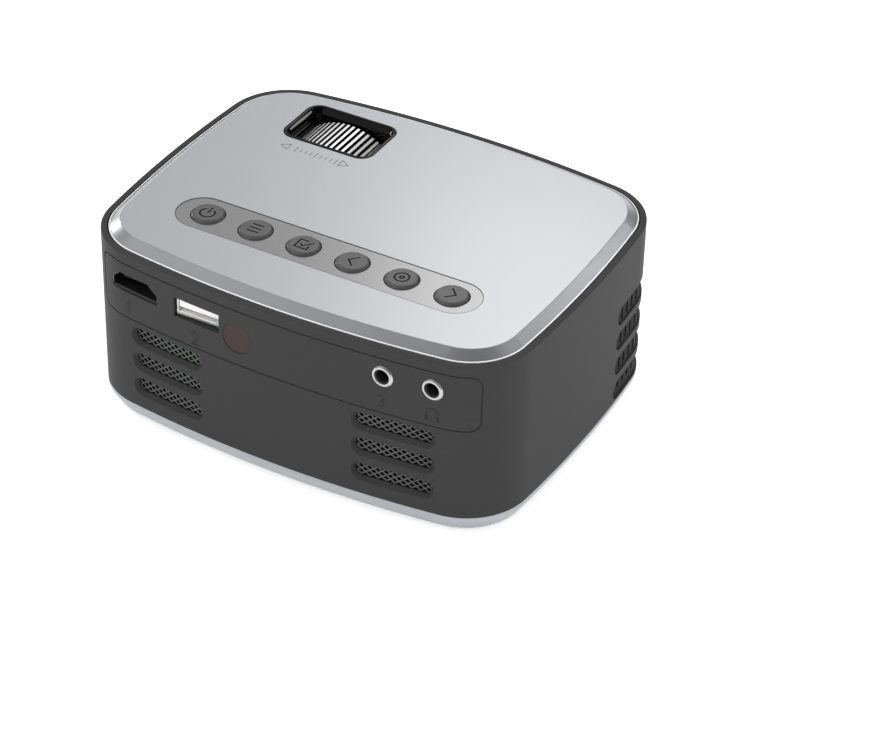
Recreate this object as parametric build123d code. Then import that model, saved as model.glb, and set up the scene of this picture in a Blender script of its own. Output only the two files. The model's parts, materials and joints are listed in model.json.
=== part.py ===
from build123d import *
import os
from math import atan2, copysign, cos, hypot, pi, sin, sqrt

# A compact table-top projector. Millimetres, +Z up, origin on the table under the case's centre.
# The lens looks along -Y, the sockets are on the +Y face.

# ---------------------------------------------------------------- driving dimensions
# Case outline, seen from above: four bowed sides joined by tangent corner arcs.
BODY_WIDTH = 128.0
BODY_DEPTH = 101.5
BODY_HEIGHT = 54.9
LONG_BOW = 5.65
SHORT_BOW = 2.7
CORNER_RADIUS = 18.6

# Case shells
SLEEVE_WALL = 1.7
RIM_DROP = 1.96
RIM_ROUND = 0.35
COVER_GAP = 0.4
COVER_SKIRT = 1.6
COVER_PLATE = 2.0
COVER_SIDE = 3.1
EDGE_BEVEL_WIDTH = 3.1
EDGE_BEVEL_DROP = 2.27
EDGE_ROUND = 0.3
LEDGE_THICKNESS = 1.7
LEDGE_REACH = 2.7
BASE_HEIGHT = 4.95
BASE_BAND = 1.15
BASE_FLARE = 2.3
BASE_FLOOR = 2.0
BASE_WALL = 1.8
LIP_HEIGHT = 2.6
LIP_WALL = 1.4
FIT = 0.1

# Feet, case screws and tripod socket
FOOT_HEIGHT = 0.8
FOOT_RADIUS = 5.0
FOOT_SINK = 1.0
FOOT_X = BODY_WIDTH / 2 - 22.0
FOOT_Y = BODY_DEPTH / 2 - 14.75
FRONT_POST_X = BODY_WIDTH / 2 - 13.5
FRONT_POST_Y = 13.75 - BODY_DEPTH / 2
REAR_POST_X = BODY_WIDTH / 2 - 11.0
REAR_POST_Y = BODY_DEPTH / 2 - 22.75
POST_RADIUS = 3.2
POST_SPLIT = 14.0
SCREW_RADIUS = 1.25
SCREW_HEAD_RADIUS = 2.6
SCREW_HEAD_HEIGHT = 1.6
SCREW_RECESS = 2.0
SCREW_BITE = 8.0
THREAD_PLAY = 0.05
TRIPOD_RADIUS = 2.6
TRIPOD_NUT_RADIUS = 4.2
TRIPOD_LENGTH = 8.0
TRIPOD_BOSS_WALL = 2.0
TRIPOD_ROOF = 1.0

# Keys on the top
KEY_COUNT = 6
KEY_PITCH = 14.55
KEY_FIRST_X = 36.9
KEY_Y = BODY_DEPTH / 2 - 27.65
KEY_RADIUS = 4.5
KEY_PLAY = 0.25
KEY_STAND = 0.65
KEY_BEVEL = 0.45
KEY_CROWN = 0.1
KEY_TRAVEL = 0.4
KEY_FLANGE = 0.8
KEY_FLANGE_THICKNESS = 0.8
KEY_STEM_RADIUS = 1.7
KEY_STEM_DIP = 0.9
STRIP_LENGTH = 89.6
STRIP_WIDTH = 14.5
STRIP_THICKNESS = 0.8
STRIP_SINK = 0.1
STRIP_X = 0.95
SWITCH_SIZE = 6.0
SWITCH_HEIGHT = 3.5
BOARD_THICKNESS = 1.6
KEY_BOARD_MARGIN = 0.6
KEY_POST_RADIUS = 1.8
KEY_POST_SPREAD = 5.1
KEY_SCREW_RADIUS = 0.9
KEY_SCREW_HEAD = 1.9
KEY_SCREW_HEAD_HEIGHT = 1.2

# Focus window
WINDOW_X = 28.6
WINDOW_Y = 20.7 - BODY_DEPTH / 2
WINDOW_LENGTH = 27.9
WINDOW_WIDTH = 19.1
WINDOW_CORNER = 4.0
WINDOW_LIP = 0.5
WINDOW_LIP_DEPTH = 1.0
WINDOW_STAND = 0.15
WINDOW_FRAME = 0.6
FUNNEL_WIDTH = 1.25
WINDOW_TUB_DEPTH = 7.4

# Lens, focus wheel and their bracket
LENS_X = 29.3
LENS_Z = BODY_HEIGHT - 18.6
WHEEL_RADIUS = 17.3
WHEEL_RIB_HEIGHT = 0.9
WHEEL_RIBS = 68
WHEEL_RIB_SHARE = 0.56
WHEEL_LENGTH = 19.4
WHEEL_COLLAR_RADIUS = 16.2
WHEEL_COLLAR_LENGTH = 3.6
WHEEL_PLAY = 0.3
WHEEL_CLEARANCE = 0.45
JOURNAL_RADIUS = 15.5
JOURNAL_LENGTH = 2.1
RUNNING_PLAY = 0.08
BARREL_RADIUS = 13.2
BARREL_WALL = 1.6
BARREL_LENGTH = 20.0
BARREL_SETBACK = 1.2
SNOUT_RADIUS = 10.6
SNOUT_WALL = 0.95
SNOUT_LENGTH = 6.0
FOCUS_TRAVEL = 3.0
BARREL_KEY_COUNT = 3
BARREL_KEY_WIDTH = 2.0
BARREL_KEY_HEIGHT = 0.8
BARREL_KEY_LENGTH = 12.0
BRACKET_PLATE = 2.0
BRACKET_MARGIN = 0.2
BRACKET_FLOOR_GAP = 0.7
FRONT_PLATE_Y = 8.75 - BODY_DEPTH / 2
TRIM_RADIUS = 13.2
TRIM_WALL = 2.2
TRIM_FLANGE_RADIUS = 15.8
TRIM_WEB = 0.5
TRIM_FRONT_Y = 0.15 - BODY_DEPTH / 2
FRONT_GLASS = 3.6
REAR_GLASS = 4.0
GLASS_BULGE = 1.4
RETAINER_WIDTH = 1.4
SHOULDER_WIDTH = 2.0

# Light engine: lamp at -X, mirror behind the lens
ENGINE_WIDTH = 31.0
ENGINE_WALL = 1.5
ENGINE_START_X = -22.0
ENGINE_END_X = 46.5
MIRROR_THICKNESS = 1.1
CONDENSER_X = -15.0
CONDENSER_BULGE = 5.5
FRESNEL_BACK_X = -5.0
PANEL_X = 1.0
FRESNEL_FRONT_X = 7.0
SHEET_THICKNESS = 1.5
PANEL_THICKNESS = 2.2
RIBBON_THICKNESS = 0.2
CONDENSER_MARGIN = 1.0
LED_BOARD_THICKNESS = 1.6
LED_SIZE = 9.0
LED_HEIGHT = 1.2
SINK_PLATE = 2.5
SINK_FINS = 11
SINK_FIN_THICKNESS = 1.2
SINK_REACH = 20.5
PILLAR_RADIUS = 3.0

# Fan
FAN_SIZE = 40.0
FAN_DEPTH = 10.0
FAN_X = 10.6 - BODY_WIDTH / 2
FAN_Y = -13.0
FAN_Z = 26.0
FAN_BORE_RADIUS = 19.0
FAN_TIP_GAP = 0.7
FAN_HUB_RADIUS = 8.0
FAN_BLADES = 7
FAN_BLADE_THICKNESS = 1.0
FAN_BLADE_PITCH = 38.0
FAN_CHORD = 8.5
FAN_SHAFT_RADIUS = 1.0
FAN_STRUT = 2.4
FAN_PLATE = 1.6
FAN_HUB_GAP = 0.5

# Rear face
PANEL_LINE_LEFT = BODY_WIDTH / 2 - 8.1
PANEL_LINE_RIGHT = 7.8 - BODY_WIDTH / 2
PANEL_LINE_LOW = BODY_HEIGHT - 21.9
PANEL_LINE_HIGH = BODY_HEIGHT - 4.9
PANEL_LINE_CORNER = 3.0
PANEL_LINE_WIDTH = 0.4
PANEL_LINE_DEPTH = 0.3
VENT_COUNT = 3
VENT_X = 33.9
VENT_LOW_Z = 12.6
VENT_PITCH = 8.0
VENT_LENGTH = 23.6
VENT_HEIGHT = 6.0
VENT_BEVEL = 1.0
VENT_BEVEL_DEPTH = 1.3
MESH_PITCH_X = 2.35
MESH_PITCH_Z = 1.8
MESH_STRAND = 0.42
MESH_THICKNESS = 0.6
MESH_MARGIN = 1.6
MESH_STRAND_X = 0.62
MESH_STRAND_Z = 0.45
MAIN_BOARD_Y = BODY_DEPTH / 2 - 17.25
MAIN_BOARD_LOW_Z = 9.0
MAIN_BOARD_HIGH_Z = BODY_HEIGHT - 7.3
MAIN_BOARD_STEP_Z = BODY_HEIGHT - 18.1
MAIN_BOARD_LEFT = 46.5
MAIN_BOARD_STEP_X = -10.0
MAIN_BOARD_RIGHT = -48.5
BOARD_REST_INSET = 4.0
BOARD_GRIP = 2.0
SOC_X = (8.0, 22.0)
SOC_Z = (15.0, 29.0)
SOC_DEPTH = 1.4
MEMORY_X = (28.0, 38.0)
MEMORY_Z = (14.0, 22.0)
MEMORY_DEPTH = 1.1
COIL_XS = (-18.0, -6.0)
COIL_Z = (BODY_HEIGHT - 14.9, BODY_HEIGHT - 7.9)
COIL_SIZE = 7.0
COIL_DEPTH = 3.0
HDMI_X = 44.2
HDMI_Z = BODY_HEIGHT - 11.0
HDMI_WIDTH = 14.7
HDMI_HEIGHT = 4.5
HDMI_CUT = 3.0
HDMI_CUT_HEIGHT = 2.6
HDMI_FRONT_Y = BODY_DEPTH / 2 - 6.15
HDMI_TONGUE_WIDTH = 11.4
HDMI_TONGUE_HEIGHT = 1.3
HDMI_TONGUE_DROP = 0.5
SOCKET_METAL = 0.4
USB_X = 23.65
USB_Z = BODY_HEIGHT - 11.4
USB_WIDTH = 13.4
USB_HEIGHT = 4.9
USB_FRONT_Y = BODY_DEPTH / 2 - 2.35
USB_TONGUE_HEIGHT = 2.0
SOCKET_DEPTH_CLEAR = 2.0
TONGUE_SETBACK = 1.0
SOCKET_RIM = 0.35
IR_X = 11.0
IR_Z = BODY_HEIGHT - 13.7
IR_RADIUS = 4.4
IR_SEAT = 1.0
IR_SINK = 0.12
IR_WELL_WALL = 1.0
IR_BLOCK_WIDTH = 6.0
IR_BLOCK_DEPTH = 4.0
IR_BLOCK_HEIGHT = 7.0
IR_EYE_RADIUS = 2.2
IR_EYE_DEPTH = 1.5
AV_X = -30.9
HEADPHONE_X = -44.3
JACK_Z = BODY_HEIGHT - 10.5
JACK_BORE_RADIUS = 1.8
JACK_BODY_WIDTH = 6.4
JACK_NOSE_RADIUS = 2.15
JACK_NECK = 2.0
JACK_BORE_LENGTH = 11.0
COLLAR_RADIUS = 3.05
COLLAR_STAND = 0.35
COLLAR_LENGTH = 2.4

# Vents round the two front corners
SIDE_VENT_COUNT = 4
SIDE_VENT_LOW_Z = 9.2
SIDE_VENT_PITCH = 8.0
SIDE_VENT_HEIGHT = 5.8
SIDE_VENT_REAR_Y = 33.45 - BODY_DEPTH / 2
SIDE_VENT_FRONT_X = BODY_WIDTH / 2 - 14.0
SIDE_GRILLE_SINK = 0.45
SIDE_GRILLE_BACK = 1.0
SIDE_SLIT_COUNT = 18
SIDE_SLIT_WIDTH = 0.9
SIDE_GRILLE_LAP = 2.0

# Power inlet, speaker, floor vents
INLET_Y = 16.0
INLET_Z = 13.0
INLET_RADIUS = 3.9
INLET_BORE_RADIUS = 2.75
INLET_BORE_LENGTH = 9.5
INLET_PIN_RADIUS = 1.05
INLET_BODY = 9.0
INLET_BODY_LENGTH = 12.0
INLET_NECK = 1.0
SPEAKER_X = -30.0
SPEAKER_Y = 22.0
SPEAKER_RADIUS = 14.0
SPEAKER_HEIGHT = 6.0
SPEAKER_RIM = 2.0
CONE_WALL = 1.0
MAGNET_RADIUS = 8.5
MAGNET_HEIGHT = 4.5
SPEAKER_SLOTS = 5
SPEAKER_SLOT_LENGTH = 18.0
FLOOR_SLOTS = 7
FLOOR_SLOT_LENGTH = 26.0
FLOOR_SLOT_WIDTH = 2.0
FLOOR_SLOT_PITCH = 4.4
FLOOR_SLOT_X = -20.0
FLOOR_SLOT_Y = -22.0

# ---------------------------------------------------------------- values worked out from them
RIM_Z = BODY_HEIGHT - RIM_DROP
BASE_Z = FOOT_HEIGHT
SEAM_Z = FOOT_HEIGHT + BASE_HEIGHT
FLOOR_Z = BASE_Z + BASE_FLOOR
COVER_INSET = SLEEVE_WALL + COVER_GAP
BEVEL_Z = BODY_HEIGHT - EDGE_BEVEL_DROP
CEILING_Z = BODY_HEIGHT - COVER_PLATE
LEDGE_TOP_Z = RIM_Z - COVER_SIDE
LEDGE_LOW_Z = LEDGE_TOP_Z - LEDGE_THICKNESS

KEY_XS = [KEY_FIRST_X - KEY_PITCH * k for k in range(KEY_COUNT)]
KEY_NAMES = ["power", "menu", "source", "left", "ok", "right"]
KEY_TOP_Z = BODY_HEIGHT + KEY_STAND
KEY_FLANGE_TOP_Z = CEILING_Z - FIT
KEY_FLANGE_LOW_Z = KEY_FLANGE_TOP_Z - KEY_FLANGE_THICKNESS
SWITCH_TOP_Z = KEY_FLANGE_LOW_Z - KEY_TRAVEL - FIT
KEY_STEM_LOW_Z = SWITCH_TOP_Z - KEY_STEM_DIP
KEY_BOARD_TOP_Z = SWITCH_TOP_Z - SWITCH_HEIGHT
KEY_BOARD_LOW_Z = KEY_BOARD_TOP_Z - BOARD_THICKNESS
KEY_PILOT_TOP_Z = CEILING_Z - 1.0
KEY_POST_XS = [KEY_XS[0] - KEY_PITCH / 2, KEY_XS[-2] - KEY_PITCH / 2]
KEY_POSTS = [(x, KEY_Y + s * KEY_POST_SPREAD) for x in KEY_POST_XS for s in (-1, 1)]

WHEEL_FRONT_Y = FRONT_PLATE_Y + BRACKET_PLATE + WHEEL_PLAY
WHEEL_REAR_Y = WHEEL_FRONT_Y + WHEEL_LENGTH
REAR_PLATE_Y = WHEEL_REAR_Y + WHEEL_PLAY
ENGINE_FRONT_Y = REAR_PLATE_Y + BRACKET_PLATE
ENGINE_Y = ENGINE_FRONT_Y + ENGINE_WIDTH / 2
ENGINE_LOW_Z = LENS_Z - ENGINE_WIDTH / 2
BORE_RADIUS = BARREL_RADIUS + RUNNING_PLAY
BARREL_FRONT_Y = FRONT_PLATE_Y + BARREL_SETBACK
BARREL_REAR_Y = BARREL_FRONT_Y + BARREL_LENGTH
SNOUT_FRONT_Y = BARREL_FRONT_Y - SNOUT_LENGTH
SHOULDER_Y = BARREL_FRONT_Y + SHOULDER_WIDTH
REAR_LENS_Y = SHOULDER_Y + BARREL_KEY_LENGTH
BRACKET_HALF = WHEEL_RADIUS + BRACKET_MARGIN
BRACKET_TOP_Z = CEILING_Z - WHEEL_PLAY
BRACKET_LOW_Z = LENS_Z - WHEEL_RADIUS - BRACKET_FLOOR_GAP - BRACKET_PLATE
TRIM_STEP_Y = BARREL_FRONT_Y - FOCUS_TRAVEL - WHEEL_PLAY
INNER_WIDTH = ENGINE_WIDTH - 2 * ENGINE_WALL
SHEET_WIDTH = INNER_WIDTH - 2 * FIT
FAN_LOW_Z = FAN_Z - FAN_SIZE / 2
VENT_ZS = [VENT_LOW_Z + VENT_PITCH * k for k in range(VENT_COUNT)]
SIDE_VENT_ZS = [SIDE_VENT_LOW_Z + SIDE_VENT_PITCH * k for k in range(SIDE_VENT_COUNT)]
BOARD_BACK_Y = MAIN_BOARD_Y + BOARD_THICKNESS
POST_PLACES = [(side * FRONT_POST_X, FRONT_POST_Y) for side in (-1, 1)]
POST_PLACES += [(side * REAR_POST_X, REAR_POST_Y) for side in (-1, 1)]


# ---------------------------------------------------------------- case outline
def arc_radius(half_chord, bow):
    return (half_chord**2 + bow**2) / (2 * bow)


LONG_RADIUS = arc_radius(BODY_WIDTH / 2 - SHORT_BOW, LONG_BOW)
SHORT_RADIUS = arc_radius(BODY_DEPTH / 2 - LONG_BOW, SHORT_BOW)
LONG_CENTRE_Y = BODY_DEPTH / 2 - LONG_RADIUS
SHORT_CENTRE_X = BODY_WIDTH / 2 - SHORT_RADIUS


def corner_centre():
    """The centre of the corner arc that touches a long and a short side from inside."""
    to_long = LONG_RADIUS - CORNER_RADIUS
    to_short = SHORT_RADIUS - CORNER_RADIUS
    apart = hypot(SHORT_CENTRE_X, LONG_CENTRE_Y)
    along = (to_long**2 - to_short**2 + apart**2) / (2 * apart)
    across = sqrt(to_long**2 - along**2)
    step_x = SHORT_CENTRE_X / apart
    step_y = -LONG_CENTRE_Y / apart
    x = along * step_x + across * step_y
    y = LONG_CENTRE_Y + along * step_y - across * step_x
    return x, y


CORNER_X, CORNER_Y = corner_centre()
LONG_ANGLE = atan2(CORNER_Y - LONG_CENTRE_Y, CORNER_X)
SHORT_ANGLE = atan2(CORNER_Y, CORNER_X - SHORT_CENTRE_X)


def corner_point(angle, inset):
    reach = CORNER_RADIUS - inset
    return CORNER_X + reach * cos(angle), CORNER_Y + reach * sin(angle)


def outline(inset, z=0.0):
    """The case outline, drawn in by an inset, as a face at height z."""
    side_end = corner_point(SHORT_ANGLE, inset)
    middle = corner_point((LONG_ANGLE + SHORT_ANGLE) / 2, inset)
    rear_end = corner_point(LONG_ANGLE, inset)
    quarter = [(BODY_WIDTH / 2 - inset, 0), side_end, middle, rear_end]
    upper = quarter + [(0, BODY_DEPTH / 2 - inset)] + [(-x, y) for x, y in quarter[:0:-1]]
    ring = upper + [(-x, -y) for x, y in upper]
    ring = ring[-1:] + ring
    arcs = [ThreePointArc(*ring[k : k + 3]) for k in range(0, len(ring) - 1, 2)]
    return Pos(0, 0, z) * make_face(arcs)


def prism(inset, low_z, high_z):
    return extrude(outline(inset, low_z), amount=high_z - low_z)


def band(outer, inner, low_z, high_z):
    return prism(outer, low_z, high_z) - prism(inner, low_z, high_z)


def rear_y(x, inset=0.0):
    return LONG_CENTRE_Y + sqrt((LONG_RADIUS - inset) ** 2 - x**2)


def side_x(y, inset=0.0):
    return SHORT_CENTRE_X + sqrt((SHORT_RADIUS - inset) ** 2 - y**2)


def rear_plane(x, z):
    """A plane that touches the rear wall at x, z and faces out of the case."""
    y = rear_y(x)
    normal = Vector(x, y - LONG_CENTRE_Y, 0).normalized()
    return Plane(origin=(x, y, z), x_dir=(-normal.Y, normal.X, 0), z_dir=normal)


# ---------------------------------------------------------------- shape helpers
def block(x, y, z):
    """A box from its low and high values along each axis."""
    size = [pair[1] - pair[0] for pair in (x, y, z)]
    middle = [(pair[0] + pair[1]) / 2 for pair in (x, y, z)]
    return Pos(*middle) * Box(*size)


def around(middle, size):
    return middle - size / 2, middle + size / 2


def along_y(sketch, low_y, high_y):
    return extrude(Plane.XZ.offset(-low_y) * sketch, amount=low_y - high_y)


def along_x(sketch, low_x, high_x):
    return extrude(Plane.YZ.offset(low_x) * sketch, amount=high_x - low_x)


def along_z(sketch, low_z, high_z):
    return extrude(Pos(0, 0, low_z) * sketch, amount=high_z - low_z)


def disc(x, y, radius, low_z, high_z):
    return along_z(Pos(x, y) * Circle(radius), low_z, high_z)


def rod_y(x, z, radius, low_y, high_y):
    return along_y(Pos(x, z) * Circle(radius), low_y, high_y)


def rod_x(y, z, radius, low_x, high_x):
    return along_x(Pos(y, z) * Circle(radius), low_x, high_x)


def turned(profile, origin, axis, radial):
    """A solid of revolution from (radius, distance along the axis) points."""
    axis = Vector(*axis)
    radial = Vector(*radial)
    plane = Plane(origin=origin, x_dir=radial, z_dir=radial.cross(axis))
    face = plane * make_face(Polyline(*profile, close=True))
    return revolve(face, axis=Axis(origin, axis), revolution_arc=360)


def lens_turned(profile):
    """Turned about the lens axis, with points as (radius, y)."""
    return turned(profile, (LENS_X, 0, LENS_Z), (0, 1, 0), (1, 0, 0))


def dome_edge(radius, rim, bulge):
    """One lens face in profile, from the rim to the axis: an arc that bulges that much, or a flat."""
    if bulge == 0:
        return Line((radius, rim), (0, rim))
    size = abs(bulge)
    sphere = arc_radius(radius, size)
    rise = sqrt(sphere**2 - (radius / 2) ** 2) - (sphere - size)
    return ThreePointArc((radius, rim), (radius / 2, rim + copysign(rise, bulge)), (0, rim + bulge))


def domed_lens(radius, low, high, low_bulge, high_bulge, origin, axis, radial):
    """A lens from its rim faces and how far each face bulges outward."""
    plane = Plane(origin=origin, x_dir=radial, z_dir=Vector(*radial).cross(Vector(*axis)))
    low_face = dome_edge(radius, low, -low_bulge)
    high_face = dome_edge(radius, high, high_bulge)
    rim = Line((radius, low), (radius, high))
    core = Line((0, high + high_bulge), (0, low - low_bulge))
    face = plane * make_face([low_face, rim, high_face, core])
    return revolve(face, axis=Axis(origin, axis), revolution_arc=360)


def both(*solids):
    """Separate solids kept as one group."""
    return Compound(children=[part for solid in solids for part in solid.solids()])


# ---------------------------------------------------------------- case
def rear_vent(x, z):
    """One rear slot: a bevelled mouth and a straight throat behind it."""
    plane = rear_plane(x, z)
    mouth = SlotOverall(VENT_LENGTH, VENT_HEIGHT)
    throat = SlotOverall(VENT_LENGTH - 2 * VENT_BEVEL, VENT_HEIGHT - 2 * VENT_BEVEL)
    outside = extrude(plane * mouth, amount=VENT_BEVEL)
    bevel = loft([plane * mouth, plane.offset(-VENT_BEVEL_DEPTH) * throat])
    through = extrude(plane.offset(-VENT_BEVEL_DEPTH) * throat, amount=-SLEEVE_WALL)
    return outside + bevel + through


def side_vent(side, z, outer, inner, shrink=0.0):
    """One slot that runs from the side wall round a front corner, between two insets."""
    height = SIDE_VENT_HEIGHT - 2 * shrink
    half = height / 2
    rear = SIDE_VENT_REAR_Y - shrink - half
    front = side * (SIDE_VENT_FRONT_X + shrink + half)
    wall = band(outer, inner, z - half, z + half)
    out_x = side * BODY_WIDTH
    flank = block(sorted((front, out_x)), (-BODY_DEPTH, rear), around(z, height))
    rear_end = rod_x(rear, z, half, *sorted((side * CORNER_X, out_x)))
    front_end = rod_y(front, z, half, -BODY_DEPTH, -CORNER_Y)
    return wall & (flank + rear_end + front_end)


def hdmi_outline(grow=0.0):
    """The socket's mouth: wide below, with its two upper corners cut."""
    half = HDMI_WIDTH / 2 + grow
    low = -HDMI_HEIGHT / 2 - grow
    high = HDMI_HEIGHT / 2 + grow
    shoulder = low + HDMI_HEIGHT - HDMI_CUT_HEIGHT + 2 * grow
    shelf = half - HDMI_CUT
    right = [(half, low), (half, shoulder), (shelf, high)]
    points = right + [(-x, z) for x, z in reversed(right)]
    return Pos(HDMI_X, HDMI_Z) * make_face(Polyline(*points, close=True))


def usb_outline(grow=0.0):
    return Pos(USB_X, USB_Z) * Rectangle(USB_WIDTH + 2 * grow, USB_HEIGHT + 2 * grow)


def panel_line():
    """The fine groove round the socket panel, as the stretch of it that lies in the wall's skin."""
    width = PANEL_LINE_LEFT - PANEL_LINE_RIGHT
    height = PANEL_LINE_HIGH - PANEL_LINE_LOW
    middle = Pos((PANEL_LINE_LEFT + PANEL_LINE_RIGHT) / 2, (PANEL_LINE_LOW + PANEL_LINE_HIGH) / 2)
    outer = RectangleRounded(width, height, PANEL_LINE_CORNER)
    inner = RectangleRounded(
        width - 2 * PANEL_LINE_WIDTH, height - 2 * PANEL_LINE_WIDTH, PANEL_LINE_CORNER - PANEL_LINE_WIDTH
    )
    frame = along_y(middle * (outer - inner), CORNER_Y, BODY_DEPTH)
    return frame - prism(PANEL_LINE_DEPTH, 0, BODY_HEIGHT)


def body_shell():
    """The dark sleeve with its ledge, vents, socket cut-outs and lens hole."""
    outer = prism(0, SEAM_Z, RIM_Z)
    outer = fillet(outer.edges().group_by(Axis.Z)[-1], RIM_ROUND)
    shell = outer - prism(SLEEVE_WALL, SEAM_Z, RIM_Z)
    ledge = band(SLEEVE_WALL, SLEEVE_WALL + LEDGE_REACH, LEDGE_LOW_Z, LEDGE_TOP_Z)
    ledge -= rod_y(LENS_X, LENS_Z, TRIM_FLANGE_RADIUS + 4 * FIT, -BODY_DEPTH, FRONT_PLATE_Y)
    shell += ledge
    for x in (-VENT_X, VENT_X):
        for z in VENT_ZS:
            shell -= rear_vent(x, z)
    for side in (-1, 1):
        for z in SIDE_VENT_ZS:
            shell -= side_vent(side, z, -1, SLEEVE_WALL + 1)
    shell -= panel_line()
    shell -= along_y(hdmi_outline(SOCKET_RIM + FIT), BOARD_BACK_Y, BODY_DEPTH)
    shell -= along_y(usb_outline(SOCKET_RIM + FIT), BOARD_BACK_Y, BODY_DEPTH)
    seat_y = rear_y(IR_X, IR_SINK + IR_SEAT)
    shell -= rod_y(IR_X, IR_Z, IR_RADIUS + FIT / 2, seat_y, BODY_DEPTH)
    shell -= rod_y(IR_X, IR_Z, IR_RADIUS - IR_WELL_WALL, BOARD_BACK_Y, BODY_DEPTH)
    for x in (AV_X, HEADPHONE_X):
        shell -= rod_y(x, JACK_Z, COLLAR_RADIUS + FIT / 2, BOARD_BACK_Y, BODY_DEPTH)
    shell -= rod_x(INLET_Y, INLET_Z, INLET_RADIUS + FIT, CORNER_X, BODY_WIDTH)
    shell -= rod_y(LENS_X, LENS_Z, TRIM_RADIUS + FIT, -BODY_DEPTH, FRONT_PLATE_Y)
    return shell


def cover_posts(low_z, high_z, radius):
    return [disc(x, y, radius, low_z, high_z) for x, y in POST_PLACES]


def window_outline(grow=0.0):
    length = WINDOW_LENGTH + 2 * grow
    width = WINDOW_WIDTH + 2 * grow
    return Pos(WINDOW_X, WINDOW_Y) * RectangleRounded(length, width, WINDOW_CORNER + grow)


def strip_outline(grow=0.0):
    return Pos(STRIP_X, KEY_Y) * SlotOverall(STRIP_LENGTH + 2 * grow, STRIP_WIDTH + 2 * grow)


def cover_plate():
    """The bevelled plate with its skirt, hollow below."""
    plate = prism(COVER_INSET, LEDGE_TOP_Z, BEVEL_Z)
    top_inset = COVER_INSET + EDGE_BEVEL_WIDTH
    plate += loft([outline(COVER_INSET, BEVEL_Z), outline(top_inset, BODY_HEIGHT)], ruled=True)
    rims = plate.edges().filter_by_position(Axis.Z, BEVEL_Z - FIT, BODY_HEIGHT + FIT)
    rims = [edge for edge in rims if edge.bounding_box().size.Z < FIT]
    plate = fillet(rims, EDGE_ROUND)
    return plate - prism(COVER_INSET + COVER_SKIRT, LEDGE_TOP_Z, CEILING_Z)


def top_cover():
    """The silver lid: plate, screw posts, key and window cut-outs, trough over the wheel."""
    lid = cover_plate()
    for post in cover_posts(POST_SPLIT, CEILING_Z, POST_RADIUS):
        lid += post
    for pilot in cover_posts(POST_SPLIT, POST_SPLIT + SCREW_BITE, SCREW_RADIUS + THREAD_PLAY):
        lid -= pilot
    for x, y in KEY_POSTS:
        lid += disc(x, y, KEY_POST_RADIUS, KEY_BOARD_TOP_Z, CEILING_Z)
        lid -= disc(x, y, KEY_SCREW_RADIUS + THREAD_PLAY, KEY_BOARD_TOP_Z, KEY_PILOT_TOP_Z)
    strip_low_z = BODY_HEIGHT - STRIP_THICKNESS - STRIP_SINK
    lid -= along_z(strip_outline(FIT / 2), strip_low_z, BODY_HEIGHT)
    for x in KEY_XS:
        lid -= disc(x, KEY_Y, KEY_RADIUS + KEY_PLAY, CEILING_Z, BODY_HEIGHT)
    lid -= along_z(window_outline(FIT / 2), BODY_HEIGHT - WINDOW_LIP_DEPTH, BODY_HEIGHT)
    lid -= along_z(window_outline(FIT / 2 - WINDOW_LIP), CEILING_Z, BODY_HEIGHT)
    wheel_ends = (WHEEL_FRONT_Y - WHEEL_PLAY, WHEEL_REAR_Y + WHEEL_PLAY)
    return lid - rod_y(LENS_X, LENS_Z, WHEEL_RADIUS + WHEEL_CLEARANCE, *wheel_ends)


def foot_places():
    return [(x, y) for x in (-FOOT_X, FOOT_X) for y in (-FOOT_Y, FOOT_Y)]


def floor_slot(x, y, length):
    return along_z(Pos(x, y) * Rot(0, 0, 90) * SlotOverall(length, FLOOR_SLOT_WIDTH), BASE_Z, FLOOR_Z)


def slot_row(middle_x, count):
    start = middle_x - FLOOR_SLOT_PITCH * (count - 1) / 2
    return [start + FLOOR_SLOT_PITCH * k for k in range(count)]


def engine_pillars():
    """Where the light engine and the lens bracket stand on the base: x, y and top height."""
    inset = PILLAR_RADIUS + ENGINE_WALL
    rows = (ENGINE_FRONT_Y + inset, ENGINE_FRONT_Y + ENGINE_WIDTH - inset)
    engine = [(x, y, ENGINE_LOW_Z) for x in (ENGINE_START_X + inset, LENS_X - inset) for y in rows]
    bracket_xs = (LENS_X - BRACKET_HALF / 2, LENS_X + BRACKET_HALF / 2)
    bracket = [(x, FRONT_PLATE_Y + 2 * PILLAR_RADIUS, BRACKET_LOW_Z) for x in bracket_xs]
    return engine + bracket


def pan_shell():
    """The flared pan with its floor and the lip that enters the sleeve."""
    band_z = SEAM_Z - BASE_BAND
    pan = prism(0, band_z, SEAM_Z)
    pan += loft([outline(BASE_FLARE, BASE_Z), outline(0, band_z)], ruled=True)
    pan = fillet(pan.edges().group_by(Axis.Z)[0], EDGE_ROUND)
    pan -= prism(BASE_FLARE + BASE_WALL, FLOOR_Z, SEAM_Z)
    lip_inset = SLEEVE_WALL + FIT
    return pan + band(lip_inset, lip_inset + LIP_WALL, band_z, SEAM_Z + LIP_HEIGHT)


def board_rests():
    """The two forks that hold the main board's lower edge."""
    middle_y = MAIN_BOARD_Y + BOARD_THICKNESS / 2
    fork_y = around(middle_y, 3 * BOARD_THICKNESS)
    slot_y = around(middle_y, BOARD_THICKNESS + FIT)
    rests = []
    for x in (MAIN_BOARD_STEP_X + BOARD_REST_INSET, MAIN_BOARD_LEFT - BOARD_REST_INSET):
        fork_x = around(x, FAN_STRUT)
        fork = block(fork_x, fork_y, (FLOOR_Z, MAIN_BOARD_LOW_Z + BOARD_GRIP))
        rests.append(fork - block(fork_x, slot_y, (MAIN_BOARD_LOW_Z, BODY_HEIGHT)))
    return rests


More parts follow.
